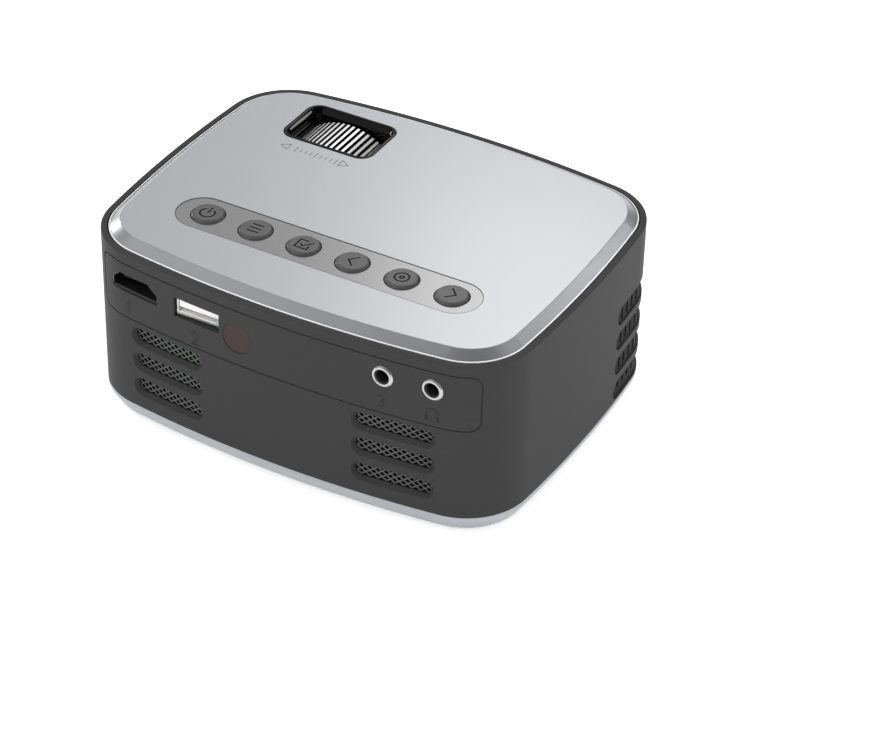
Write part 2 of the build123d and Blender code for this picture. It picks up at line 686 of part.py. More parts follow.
def pan_supports():
    """What stands on the floor: bosses, pillars, the fan's two blocks, the inlet's pedestal, forks."""
    parts = cover_posts(FLOOR_Z, POST_SPLIT, POST_RADIUS) + board_rests()
    for x, y, top_z in engine_pillars():
        parts.append(disc(x, y, PILLAR_RADIUS, FLOOR_Z, top_z))
    boss_radius = TRIPOD_NUT_RADIUS + TRIPOD_BOSS_WALL
    parts.append(disc(0, 0, boss_radius, FLOOR_Z, BASE_Z + TRIPOD_LENGTH + TRIPOD_ROOF))
    for y in (FAN_Y - FAN_SIZE / 4, FAN_Y + FAN_SIZE / 4):
        parts.append(block(around(FAN_X, FAN_DEPTH), around(y, FAN_STRUT), (FLOOR_Z, FAN_LOW_Z)))
    inlet_x = side_x(INLET_Y, SLEEVE_WALL) - INLET_BODY_LENGTH / 2
    pedestal_z = (FLOOR_Z, INLET_Z - INLET_BODY / 2)
    parts.append(block(around(inlet_x, INLET_BODY), around(INLET_Y, INLET_BODY), pedestal_z))
    return parts


def base_cover():
    """The silver pan with its supports, screw holes, foot seats and floor slots."""
    pan = pan_shell()
    for support in pan_supports():
        pan += support
    pan -= disc(0, 0, TRIPOD_NUT_RADIUS + FIT / 2, BASE_Z, BASE_Z + TRIPOD_LENGTH)
    recess_top_z = BASE_Z + SCREW_RECESS + SCREW_HEAD_HEIGHT
    for recess in cover_posts(BASE_Z, recess_top_z, SCREW_HEAD_RADIUS + 2 * FIT):
        pan -= recess
    for hole in cover_posts(BASE_Z, POST_SPLIT, SCREW_RADIUS + FIT):
        pan -= hole
    for x, y in foot_places():
        pan -= disc(x, y, FOOT_RADIUS + FIT / 2, BASE_Z, BASE_Z + FOOT_SINK)
    for x in slot_row(SPEAKER_X, SPEAKER_SLOTS):
        pan -= floor_slot(x, SPEAKER_Y, SPEAKER_SLOT_LENGTH)
    for x in slot_row(FLOOR_SLOT_X, FLOOR_SLOTS):
        pan -= floor_slot(x, FLOOR_SLOT_Y, FLOOR_SLOT_LENGTH)
    return pan


def rubber_feet():
    return both(*[disc(x, y, FOOT_RADIUS, 0, BASE_Z + FOOT_SINK) for x, y in foot_places()])


def machine_screw(x, y, head_radius, head_low, head_high, radius, tip_z):
    profile = [
        (0, head_low),
        (head_radius, head_low),
        (head_radius, head_high),
        (radius, head_high),
        (radius, tip_z - radius),
        (0, tip_z),
    ]
    return turned(profile, (x, y, 0), (0, 0, 1), (1, 0, 0))


def case_screws():
    low = BASE_Z + SCREW_RECESS
    high = low + SCREW_HEAD_HEIGHT
    tip = POST_SPLIT + SCREW_BITE - 1
    size = (SCREW_HEAD_RADIUS, low, high, SCREW_RADIUS, tip)
    return both(*[machine_screw(x, y, *size) for x, y in POST_PLACES])


def tripod_nut():
    nut = disc(0, 0, TRIPOD_NUT_RADIUS, BASE_Z, BASE_Z + TRIPOD_LENGTH)
    return nut - disc(0, 0, TRIPOD_RADIUS, BASE_Z, BASE_Z + TRIPOD_LENGTH)


# ---------------------------------------------------------------- keys
def button_strip():
    top_z = BODY_HEIGHT - STRIP_SINK
    strip = along_z(strip_outline(), top_z - STRIP_THICKNESS, top_z)
    for x in KEY_XS:
        strip -= disc(x, KEY_Y, KEY_RADIUS + KEY_PLAY, top_z - STRIP_THICKNESS, top_z)
    return strip


def key_cap(x):
    """One key: crowned cap, flange that keeps it in, and the stem that works its switch."""
    shoulder_z = KEY_TOP_Z - KEY_BEVEL
    profile = [
        (0, KEY_STEM_LOW_Z),
        (KEY_STEM_RADIUS, KEY_STEM_LOW_Z),
        (KEY_STEM_RADIUS, KEY_FLANGE_LOW_Z),
        (KEY_RADIUS + KEY_FLANGE, KEY_FLANGE_LOW_Z),
        (KEY_RADIUS + KEY_FLANGE, KEY_FLANGE_TOP_Z),
        (KEY_RADIUS, KEY_FLANGE_TOP_Z),
        (KEY_RADIUS, shoulder_z),
        (KEY_RADIUS - KEY_BEVEL, KEY_TOP_Z - KEY_CROWN),
        (KEY_RADIUS / 2, KEY_TOP_Z - KEY_CROWN / 4),
        (0, KEY_TOP_Z),
    ]
    return turned(profile, (x, KEY_Y, 0), (0, 0, 1), (1, 0, 0))


def key_board():
    half_length = STRIP_LENGTH / 2 - KEY_BOARD_MARGIN
    half_width = STRIP_WIDTH / 2 - KEY_BOARD_MARGIN / 2
    x = (STRIP_X - half_length, STRIP_X + half_length)
    board = block(x, (KEY_Y - half_width, KEY_Y + half_width), (KEY_BOARD_LOW_Z, KEY_BOARD_TOP_Z))
    for post_x, post_y in KEY_POSTS:
        board -= disc(post_x, post_y, KEY_SCREW_RADIUS + FIT, KEY_BOARD_LOW_Z, KEY_BOARD_TOP_Z)
    return board


def key_switches():
    bodies = []
    for x in KEY_XS:
        body_z = (KEY_BOARD_TOP_Z, SWITCH_TOP_Z)
        body = block(around(x, SWITCH_SIZE), around(KEY_Y, SWITCH_SIZE), body_z)
        well_z = KEY_STEM_LOW_Z - KEY_TRAVEL - FIT
        bodies.append(body - disc(x, KEY_Y, KEY_STEM_RADIUS + 2 * FIT, well_z, SWITCH_TOP_Z))
    return both(*bodies)


def board_screws():
    high = KEY_BOARD_LOW_Z
    low = high - KEY_SCREW_HEAD_HEIGHT
    size = (KEY_SCREW_HEAD, low, high, KEY_SCREW_RADIUS, KEY_PILOT_TOP_Z - 1.0)
    return both(*[machine_screw(x, y, *size) for x, y in KEY_POSTS])


# ---------------------------------------------------------------- focus window and lens
def wheel_room():
    """The space kept free round the wheel: its ribs, and the collar in front of them."""
    collar_y = (FRONT_PLATE_Y, WHEEL_FRONT_Y + WHEEL_COLLAR_LENGTH)
    ribs_y = (WHEEL_FRONT_Y + WHEEL_COLLAR_LENGTH - WHEEL_PLAY, ENGINE_Y)
    room = rod_y(LENS_X, LENS_Z, WHEEL_COLLAR_RADIUS + WHEEL_CLEARANCE, *collar_y)
    return room + rod_y(LENS_X, LENS_Z, WHEEL_RADIUS + WHEEL_CLEARANCE, *ribs_y)


def window_funnel(top_z):
    """The opening through the tub: slanted at 45 degrees below its rim, then straight."""
    throat_z = top_z - FUNNEL_WIDTH
    mouth = window_outline(-WINDOW_LIP - WINDOW_FRAME)
    throat = window_outline(-WINDOW_LIP - WINDOW_FRAME - FUNNEL_WIDTH)
    funnel = loft([Pos(0, 0, throat_z) * throat, Pos(0, 0, top_z) * mouth], ruled=True)
    return funnel + along_z(throat, top_z - WINDOW_TUB_DEPTH, throat_z)


def focus_bezel():
    """The black tub round the wheel: a lip, a funnel, and walls cut to follow the wheel."""
    top_z = BODY_HEIGHT + WINDOW_STAND
    lip = along_z(window_outline(), BODY_HEIGHT - WINDOW_LIP_DEPTH, top_z)
    lip = chamfer(lip.edges().group_by(Axis.Z)[-1], WINDOW_STAND)
    tub = along_z(window_outline(-WINDOW_LIP), top_z - WINDOW_TUB_DEPTH, BODY_HEIGHT - WINDOW_LIP_DEPTH)
    return lip + tub - window_funnel(top_z) - wheel_room()


def barrel_keys(width, radius, low_y, high_y):
    """Straight keys round the barrel, or the slots for them."""
    keys = None
    for angle in range(0, 360, 360 // BARREL_KEY_COUNT):
        bar = Pos(0, (radius + SNOUT_RADIUS) / 2) * Rectangle(width, radius - SNOUT_RADIUS)
        turned_bar = along_y(Pos(LENS_X, LENS_Z) * Rot(0, 0, angle) * bar, low_y, high_y)
        keys = turned_bar if keys is None else keys + turned_bar
    return keys


def focus_ring():
    """The wheel under the window: ribs, a plain collar, two journals, a bore with keyways."""
    root = WHEEL_RADIUS - WHEEL_RIB_HEIGHT
    pitch = 2 * pi * WHEEL_RADIUS / WHEEL_RIBS
    rib = Rectangle(2 * WHEEL_RIB_HEIGHT, pitch * WHEEL_RIB_SHARE)
    section = Circle(root) + PolarLocations(root, WHEEL_RIBS) * rib
    collar_end = WHEEL_FRONT_Y + WHEEL_COLLAR_LENGTH
    wheel = along_y(Pos(LENS_X, LENS_Z) * section, collar_end, WHEEL_REAR_Y)
    wheel += rod_y(LENS_X, LENS_Z, WHEEL_COLLAR_RADIUS, WHEEL_FRONT_Y, collar_end)
    ends = (WHEEL_FRONT_Y - JOURNAL_LENGTH, WHEEL_REAR_Y + JOURNAL_LENGTH)
    wheel += rod_y(LENS_X, LENS_Z, JOURNAL_RADIUS, *ends)
    wheel -= rod_y(LENS_X, LENS_Z, BORE_RADIUS, *ends)
    slot_radius = BARREL_RADIUS + BARREL_KEY_HEIGHT + 2 * FIT
    return wheel - barrel_keys(BARREL_KEY_WIDTH + 3 * FIT, slot_radius, *ends)


def lens_barrel():
    """The sliding barrel: wide keyed body, narrow snout, seats for both glasses."""
    profile = [
        (SNOUT_RADIUS - SNOUT_WALL, SNOUT_FRONT_Y),
        (SNOUT_RADIUS, SNOUT_FRONT_Y),
        (SNOUT_RADIUS, BARREL_FRONT_Y),
        (BARREL_RADIUS, BARREL_FRONT_Y),
        (BARREL_RADIUS, BARREL_REAR_Y),
        (BARREL_RADIUS - BARREL_WALL, BARREL_REAR_Y),
        (BARREL_RADIUS - BARREL_WALL, SHOULDER_Y),
        (SNOUT_RADIUS - BARREL_WALL, SHOULDER_Y),
        (SNOUT_RADIUS - BARREL_WALL, BARREL_FRONT_Y),
        (SNOUT_RADIUS - SNOUT_WALL, BARREL_FRONT_Y),
    ]
    barrel = lens_turned(profile)
    middle_y = (BARREL_FRONT_Y + BARREL_REAR_Y) / 2
    key_y = around(middle_y, BARREL_KEY_LENGTH)
    keys = barrel_keys(BARREL_KEY_WIDTH, BARREL_RADIUS + BARREL_KEY_HEIGHT, *key_y)
    return barrel + (keys - rod_y(LENS_X, LENS_Z, BARREL_RADIUS - BARREL_WALL / 2, *key_y))


def lens_glass(radius, front, rear, front_bulge, rear_bulge):
    """A glass on the lens axis, with its rim faces at front and rear."""
    origin = (LENS_X, 0, LENS_Z)
    return domed_lens(radius, front, rear, front_bulge, rear_bulge, origin, (0, 1, 0), (1, 0, 0))


def front_lens():
    rear = BARREL_FRONT_Y
    radius = SNOUT_RADIUS - SNOUT_WALL - FIT / 2
    return lens_glass(radius, rear - FRONT_GLASS + GLASS_BULGE, rear, GLASS_BULGE, 0)


def rear_lens():
    radius = BARREL_RADIUS - BARREL_WALL - FIT / 2
    rear = REAR_LENS_Y + REAR_GLASS - GLASS_BULGE
    return lens_glass(radius, REAR_LENS_Y, rear, GLASS_BULGE, GLASS_BULGE / 2)


def lens_retainer():
    """The ring that holds the rear glass against its seat."""
    outer = BARREL_RADIUS - BARREL_WALL - FIT / 2
    low = REAR_LENS_Y + REAR_GLASS - GLASS_BULGE
    high = low + RETAINER_WIDTH
    inner = outer - RETAINER_WIDTH
    return lens_turned([(inner, low + GLASS_BULGE / 2), (outer, low), (outer, high), (inner, high)])


def lens_trim():
    """The black ring round the lens in the front face, with a flange behind the wall."""
    flange_y = TRIM_STEP_Y - TRIM_WEB
    profile = [
        (TRIM_RADIUS - TRIM_WALL / 2, TRIM_FRONT_Y),
        (TRIM_RADIUS, TRIM_FRONT_Y),
        (TRIM_RADIUS, flange_y),
        (TRIM_FLANGE_RADIUS, flange_y),
        (TRIM_FLANGE_RADIUS, FRONT_PLATE_Y),
        (BARREL_RADIUS + 5 * FIT, FRONT_PLATE_Y),
        (BARREL_RADIUS + 5 * FIT, TRIM_STEP_Y),
        (TRIM_RADIUS - TRIM_WALL, TRIM_STEP_Y),
    ]
    return lens_turned(profile)


def lens_bracket():
    """The U-shaped frame whose two plates carry the wheel's journals."""
    x = around(LENS_X, 2 * BRACKET_HALF)
    front = block(x, (FRONT_PLATE_Y, FRONT_PLATE_Y + BRACKET_PLATE), (BRACKET_LOW_Z, BRACKET_TOP_Z))
    rear = block(x, (REAR_PLATE_Y, ENGINE_FRONT_Y), (BRACKET_LOW_Z, BRACKET_TOP_Z))
    floor = block(x, (FRONT_PLATE_Y, ENGINE_FRONT_Y), (BRACKET_LOW_Z, BRACKET_LOW_Z + BRACKET_PLATE))
    frame = front + rear + floor
    return frame - rod_y(LENS_X, LENS_Z, JOURNAL_RADIUS + RUNNING_PLAY, FRONT_PLATE_Y, ENGINE_FRONT_Y)


# ---------------------------------------------------------------- light engine
def slant_reach(grow):
    """Where the housing's slanted wall meets the X axis: x + y is this along the whole wall."""
    return ENGINE_Y + LENS_X + ENGINE_WIDTH / 2 + grow * (sqrt(2) - 1)


def engine_plan(grow):
    """The light engine seen from above, with the corner behind the mirror cut at 45 degrees."""
    low_y = ENGINE_FRONT_Y - grow
    high_y = ENGINE_FRONT_Y + ENGINE_WIDTH + grow
    end_x = ENGINE_END_X + grow
    slant = slant_reach(grow)
    points = [
        (ENGINE_START_X, low_y),
        (end_x, low_y),
        (end_x, slant - end_x),
        (slant - high_y, high_y),
        (ENGINE_START_X, high_y),
    ]
    return make_face(Polyline(*points, close=True))


def engine_housing():
    """The black tunnel that holds lamp, sheets and mirror, with a hole for the lens."""
    high_z = ENGINE_LOW_Z + ENGINE_WIDTH
    box = along_z(engine_plan(0), ENGINE_LOW_Z, high_z)
    box -= along_z(engine_plan(-ENGINE_WALL), ENGINE_LOW_Z + ENGINE_WALL, high_z - ENGINE_WALL)
    wall_y = (ENGINE_FRONT_Y, ENGINE_FRONT_Y + ENGINE_WALL)
    return box - rod_y(LENS_X, LENS_Z, BARREL_RADIUS + 4 * FIT, *wall_y)


def fold_mirror():
    """The flat mirror that rests on the slanted wall and turns the light towards the lens."""
    slant = slant_reach(-ENGINE_WALL)
    high_y = ENGINE_FRONT_Y + ENGINE_WIDTH - ENGINE_WALL - 2 * FIT
    face_gap = (MIRROR_THICKNESS + FIT) * sqrt(2)
    back_gap = FIT * sqrt(2)
    low_x = ENGINE_END_X - ENGINE_WALL - FIT
    low_y = slant - low_x
    high_x = slant - high_y
    points = [
        (low_x - back_gap, low_y),
        (high_x - back_gap, high_y),
        (high_x - face_gap, high_y),
        (low_x - face_gap, low_y),
    ]
    plate = make_face(Polyline(*points, close=True))
    low_z = ENGINE_LOW_Z + ENGINE_WALL + FIT
    return along_z(plate, low_z, low_z + SHEET_WIDTH)


def engine_sheet(x, thickness):
    return block((x, x + thickness), around(ENGINE_Y, SHEET_WIDTH), around(LENS_Z, SHEET_WIDTH))


def condenser_lens():
    """The plano-convex lamp lens with its square flange."""
    flange = engine_sheet(CONDENSER_X, SHEET_THICKNESS)
    radius = SHEET_WIDTH / 2 - CONDENSER_MARGIN
    high = CONDENSER_X + SHEET_THICKNESS
    origin = (0, ENGINE_Y, LENS_Z)
    return flange + domed_lens(radius, CONDENSER_X, high, 0, CONDENSER_BULGE, origin, (1, 0, 0), (0, 1, 0))


def lcd_ribbon():
    """The flat flex from the picture panel to the main board, with a soft S bend."""
    start_y = ENGINE_FRONT_Y + ENGINE_WIDTH
    gap = MAIN_BOARD_Y - start_y
    high = LENS_Z
    low = LENS_Z - gap / 2
    radius = gap / 8
    bend_y = start_y + gap / 2
    points = [(start_y, high), (bend_y, high), (bend_y, low), (MAIN_BOARD_Y, low)]
    section = trace(FilletPolyline(*points, radius=radius), line_width=RIBBON_THICKNESS)
    return along_x(section, PANEL_X - SHEET_WIDTH / 4, PANEL_X + SHEET_WIDTH / 4)


def led_board():
    x = (ENGINE_START_X - LED_BOARD_THICKNESS, ENGINE_START_X)
    return block(x, around(ENGINE_Y, ENGINE_WIDTH), around(LENS_Z, ENGINE_WIDTH))


def led_chip():
    x = (ENGINE_START_X, ENGINE_START_X + LED_HEIGHT)
    return block(x, around(ENGINE_Y, LED_SIZE), around(LENS_Z, LED_SIZE))


def heat_sink():
    """A plate behind the lamp board with fins that reach towards the fan."""
    plate_x = ENGINE_START_X - LED_BOARD_THICKNESS
    fin_x = (plate_x - SINK_PLATE - SINK_REACH, plate_x - SINK_PLATE)
    height = around(LENS_Z, ENGINE_WIDTH)
    sink = block((plate_x - SINK_PLATE, plate_x), around(ENGINE_Y, ENGINE_WIDTH), height)
    pitch = (ENGINE_WIDTH - SINK_FIN_THICKNESS) / (SINK_FINS - 1)
    first = ENGINE_Y - ENGINE_WIDTH / 2 + SINK_FIN_THICKNESS / 2
    for k in range(SINK_FINS):
        sink += block(fin_x, around(first + pitch * k, SINK_FIN_THICKNESS), height)
    return sink


# ---------------------------------------------------------------- fan
def fan_frame():
    """A square axial fan frame with its bore, four struts and the hub that holds the bearing."""
    x = around(FAN_X, FAN_DEPTH)
    frame = along_x(Pos(FAN_Y, FAN_Z) * RectangleRounded(FAN_SIZE, FAN_SIZE, FAN_STRUT), *x)
    frame -= rod_x(FAN_Y, FAN_Z, FAN_BORE_RADIUS, *x)
    plate = (x[0], x[0] + FAN_PLATE)
    hub = rod_x(FAN_Y, FAN_Z, FAN_HUB_RADIUS, *plate)
    for angle in (45, 135):
        strut = Pos(FAN_Y, FAN_Z) * Rot(0, 0, angle) * Rectangle(2 * FAN_BORE_RADIUS + 1, FAN_STRUT)
        hub += along_x(strut, *plate)
    bearing = rod_x(FAN_Y, FAN_Z, 3 * FAN_SHAFT_RADIUS, x[0], x[0] + FAN_DEPTH / 2)
    frame = frame + hub + bearing
    return frame - rod_x(FAN_Y, FAN_Z, FAN_SHAFT_RADIUS + THREAD_PLAY, *x)


def fan_rotor():
    """The hub cup, its shaft and the pitched blades."""
    low = FAN_X - FAN_DEPTH / 2
    back = low + FAN_PLATE + FAN_HUB_GAP
    front = FAN_X + FAN_DEPTH / 2 - FAN_HUB_GAP
    hub = rod_x(FAN_Y, FAN_Z, FAN_HUB_RADIUS, back, front)
    hub -= rod_x(FAN_Y, FAN_Z, FAN_HUB_RADIUS - FAN_PLATE, back, front - FAN_PLATE)
    hub += rod_x(FAN_Y, FAN_Z, FAN_SHAFT_RADIUS, low + FAN_HUB_GAP, front)
    tip = FAN_BORE_RADIUS - FAN_TIP_GAP
    chord = FAN_CHORD
    reach = tip - FAN_HUB_RADIUS + FAN_PLATE
    blade = Pos(0, 0, FAN_HUB_RADIUS - FAN_PLATE / 2 + reach / 2) * Rot(0, 0, FAN_BLADE_PITCH)
    blade = blade * Box(chord, FAN_BLADE_THICKNESS, reach)
    ring = rod_x(0, 0, tip, back, front) - rod_x(0, 0, FAN_HUB_RADIUS - FAN_PLATE / 2, back, front)
    for k in range(FAN_BLADES):
        turned_blade = Pos(FAN_X, 0, 0) * Rot(360 / FAN_BLADES * k, 0, 0) * blade
        hub += Pos(0, FAN_Y, FAN_Z) * (ring & turned_blade)
    return hub


# ---------------------------------------------------------------- rear face
def mesh_cells(z):
    """The diamond holes of one strip of rear mesh, as a sketch about the vent's middle."""
    half_x = MESH_PITCH_X / 2 - MESH_STRAND * MESH_STRAND_X
    half_z = MESH_PITCH_Z / 2 - MESH_STRAND * MESH_STRAND_Z
    diamond = make_face(Polyline((half_x, 0), (0, half_z), (-half_x, 0), (0, -half_z), close=True))
    columns = int((VENT_LENGTH - MESH_PITCH_X / 2) / MESH_PITCH_X)
    rows = int((VENT_HEIGHT - VENT_BEVEL) / MESH_PITCH_Z)
    even = GridLocations(MESH_PITCH_X, MESH_PITCH_Z, columns, rows)
    odd = GridLocations(MESH_PITCH_X, MESH_PITCH_Z, columns - 1, rows + 1)
    return [Pos(0, z) * place * diamond for place in list(even) + list(odd)]


def rear_grille(x):
    """The expanded-metal mesh behind one set of rear slots, bent to the wall."""
    low_z = VENT_ZS[0] - VENT_HEIGHT / 2 - MESH_MARGIN / 2
    high_z = VENT_ZS[-1] + VENT_HEIGHT / 2 + MESH_MARGIN / 2
    sheet = Pos(x, (low_z + high_z) / 2) * Rectangle(VENT_LENGTH + MESH_MARGIN, high_z - low_z)
    holes = [Pos(x, 0) * cell for z in VENT_ZS for cell in mesh_cells(z)]
    sheet = sheet - holes
    inset = SLEEVE_WALL + FIT / 2
    skin = band(inset, inset + MESH_THICKNESS, low_z - 1, high_z + 1)
    return skin & along_y(sheet, CORNER_Y, BODY_DEPTH)


def side_slits(side, slit_z):
    """Fine upright slits through one slot's pad: a fan round the corner and a row on the flank."""
    slits = []
    count = SIDE_SLIT_COUNT // 2
    for k in range(count):
        angle = -90 / count * (k + 0.5)
        turn = angle if side > 0 else 180 - angle
        bar = block((0, BODY_DEPTH), around(0, SIDE_SLIT_WIDTH), slit_z)
        slits.append(Pos(side * CORNER_X, -CORNER_Y, 0) * Rot(0, 0, turn) * bar)
    pitch = pi / 2 * CORNER_RADIUS / count
    flank_x = sorted((side * CORNER_X, side * BODY_WIDTH))
    y = -CORNER_Y + pitch / 2
    while y < SIDE_VENT_REAR_Y - pitch:
        slits.append(block(flank_x, around(y, SIDE_SLIT_WIDTH), slit_z))
        y += pitch
    return slits


def side_grille(side):
    """The insert behind one front corner: a backing band and slit pads that fill the slots."""
    low_z = SEAM_Z + LIP_HEIGHT + FIT
    high_z = SIDE_VENT_ZS[-1] + SIDE_VENT_HEIGHT / 2 + SIDE_GRILLE_BACK
    zone_x = sorted((side * (SIDE_VENT_FRONT_X - SIDE_GRILLE_LAP), side * BODY_WIDTH))
    zone = block(zone_x, (-BODY_DEPTH, SIDE_VENT_REAR_Y + SIDE_GRILLE_LAP), (low_z, high_z))
    grille = zone & band(SLEEVE_WALL + FIT / 2, SLEEVE_WALL + SIDE_GRILLE_BACK, low_z, high_z)
    for z in SIDE_VENT_ZS:
        grille += side_vent(side, z, SIDE_GRILLE_SINK, SLEEVE_WALL + FIT, shrink=1.5 * FIT)
    for z in SIDE_VENT_ZS:
        slit_low, slit_high = around(z, SIDE_VENT_HEIGHT - 4 * MESH_THICKNESS)
        slit_z = (max(slit_low, low_z + MESH_THICKNESS), slit_high)
        for slit in side_slits(side, slit_z):
            grille -= slit
    return grille


def main_board():
    """The L-shaped board that stands behind the rear wall."""
    low, step, high = MAIN_BOARD_LOW_Z, MAIN_BOARD_STEP_Z, MAIN_BOARD_HIGH_Z
    points = [
        (MAIN_BOARD_LEFT, low),
        (MAIN_BOARD_LEFT, high),
        (MAIN_BOARD_RIGHT, high),
        (MAIN_BOARD_RIGHT, step),
        (MAIN_BOARD_STEP_X, step),
        (MAIN_BOARD_STEP_X, low),
    ]
    return along_y(make_face(Polyline(*points, close=True)), MAIN_BOARD_Y, BOARD_BACK_Y)


def board_chips():
    """The processor, memory and two coils on the board's inner face."""
    soc = block(SOC_X, (MAIN_BOARD_Y - SOC_DEPTH, MAIN_BOARD_Y), SOC_Z)
    memory = block(MEMORY_X, (MAIN_BOARD_Y - MEMORY_DEPTH, MAIN_BOARD_Y), MEMORY_Z)
    coil_y = (MAIN_BOARD_Y - COIL_DEPTH, MAIN_BOARD_Y)
    coils = [block(around(x, COIL_SIZE), coil_y, COIL_Z) for x in COIL_XS]
    return both(soc, memory, *coils)


def hdmi_socket():
    """The metal shell of the wide socket, closed at the board."""
    shell = along_y(hdmi_outline(), BOARD_BACK_Y, HDMI_FRONT_Y)
    return shell - along_y(hdmi_outline(-SOCKET_METAL), BOARD_BACK_Y + SOCKET_DEPTH_CLEAR, HDMI_FRONT_Y)


def hdmi_tongue():
    root_y = BOARD_BACK_Y + SOCKET_DEPTH_CLEAR
    z = around(HDMI_Z - HDMI_TONGUE_DROP, HDMI_TONGUE_HEIGHT)
    return block(around(HDMI_X, HDMI_TONGUE_WIDTH), (root_y, HDMI_FRONT_Y - TONGUE_SETBACK), z)


def usb_socket():
    shell = along_y(usb_outline(), BOARD_BACK_Y, USB_FRONT_Y)
    return shell - along_y(usb_outline(-SOCKET_METAL), BOARD_BACK_Y + SOCKET_DEPTH_CLEAR, USB_FRONT_Y)


def usb_tongue():
    """The white insulator: a block at the back and the tongue under the shell's roof."""
    root_y = BOARD_BACK_Y + SOCKET_DEPTH_CLEAR
    inner_x = around(USB_X, USB_WIDTH - 2 * SOCKET_METAL - FIT)
    inner_z = around(USB_Z, USB_HEIGHT - 2 * SOCKET_METAL - FIT)
    back = block(inner_x, (root_y, root_y + SOCKET_DEPTH_CLEAR), inner_z)
    tongue_z = (inner_z[1] - USB_TONGUE_HEIGHT, inner_z[1])
    return back + block(inner_x, (root_y, USB_FRONT_Y - TONGUE_SETBACK), tongue_z)


def ir_window():
    seat_y = rear_y(IR_X, IR_SINK + IR_SEAT) + FIT / 4
    disc_rod = rod_y(IR_X, IR_Z, IR_RADIUS, seat_y, BODY_DEPTH)
    return disc_rod & prism(IR_SINK, SEAM_Z, BODY_HEIGHT)


def ir_receiver():
    """The remote receiver: a block with a round eye, on the board behind its window."""
    front_y = BOARD_BACK_Y + IR_BLOCK_DEPTH
    body = block(around(IR_X, IR_BLOCK_WIDTH), (BOARD_BACK_Y, front_y), around(IR_Z, IR_BLOCK_HEIGHT))
    return body + rod_y(IR_X, IR_Z, IR_EYE_RADIUS, front_y, front_y + IR_EYE_DEPTH)


def jack(x):
    """One 3.5 mm socket: block on the board, nose in the wall, plug bore."""
    mouth_y = rear_y(x) - FIT
    neck_y = rear_y(x, SLEEVE_WALL) - JACK_NECK
    width = JACK_BODY_WIDTH
    body = block(around(x, width), (BOARD_BACK_Y, neck_y), around(JACK_Z, width))
    body += rod_y(x, JACK_Z, JACK_NOSE_RADIUS, neck_y, mouth_y)
    return body - rod_y(x, JACK_Z, JACK_BORE_RADIUS, mouth_y - JACK_BORE_LENGTH, mouth_y)


def jack_collar(x):
    """The bright ring round one 3.5 mm socket."""
    high = rear_y(x) + COLLAR_STAND
    ring = rod_y(x, JACK_Z, COLLAR_RADIUS, high - COLLAR_LENGTH, high)
    ring = chamfer(ring.edges().group_by(Axis.Y)[-1], COLLAR_STAND)
    return ring - rod_y(x, JACK_Z, JACK_NOSE_RADIUS + FIT / 2, high - COLLAR_LENGTH, high)


def dc_inlet():
    """The power socket in the +X wall."""
    mouth_x = side_x(INLET_Y) - FIT
    neck_x = side_x(INLET_Y, SLEEVE_WALL) - INLET_NECK
    body_x = (neck_x - INLET_BODY_LENGTH, neck_x)
    body = block(body_x, around(INLET_Y, INLET_BODY), around(INLET_Z, INLET_BODY))
    body += rod_x(INLET_Y, INLET_Z, INLET_RADIUS, neck_x, mouth_x)
    return body - rod_x(INLET_Y, INLET_Z, INLET_BORE_RADIUS, mouth_x - INLET_BORE_LENGTH, mouth_x)


def dc_pin():
    mouth_x = side_x(INLET_Y) - FIT
    pin_x = (mouth_x - INLET_BORE_LENGTH, mouth_x - INLET_NECK)
    return rod_x(INLET_Y, INLET_Z, INLET_PIN_RADIUS, *pin_x)


# ---------------------------------------------------------------- sound
def speaker():
    """The basket and cone, face down on the floor slots."""
    inner = SPEAKER_RADIUS - SPEAKER_RIM
    low = FLOOR_Z
    high = FLOOR_Z + SPEAKER_HEIGHT
    profile = [
        (0, high - CONE_WALL),
        (MAGNET_RADIUS - SPEAKER_RIM, high - CONE_WALL),
        (inner, low + CONE_WALL),
        (inner, low),
        (SPEAKER_RADIUS, low),
        (SPEAKER_RADIUS, low + SPEAKER_RIM),
        (MAGNET_RADIUS, high),
        (0, high),
    ]
    return turned(profile, (SPEAKER_X, SPEAKER_Y, 0), (0, 0, 1), (1, 0, 0))


def speaker_magnet():
    low = FLOOR_Z + SPEAKER_HEIGHT
    return disc(SPEAKER_X, SPEAKER_Y, MAGNET_RADIUS, low, low + MAGNET_HEIGHT)


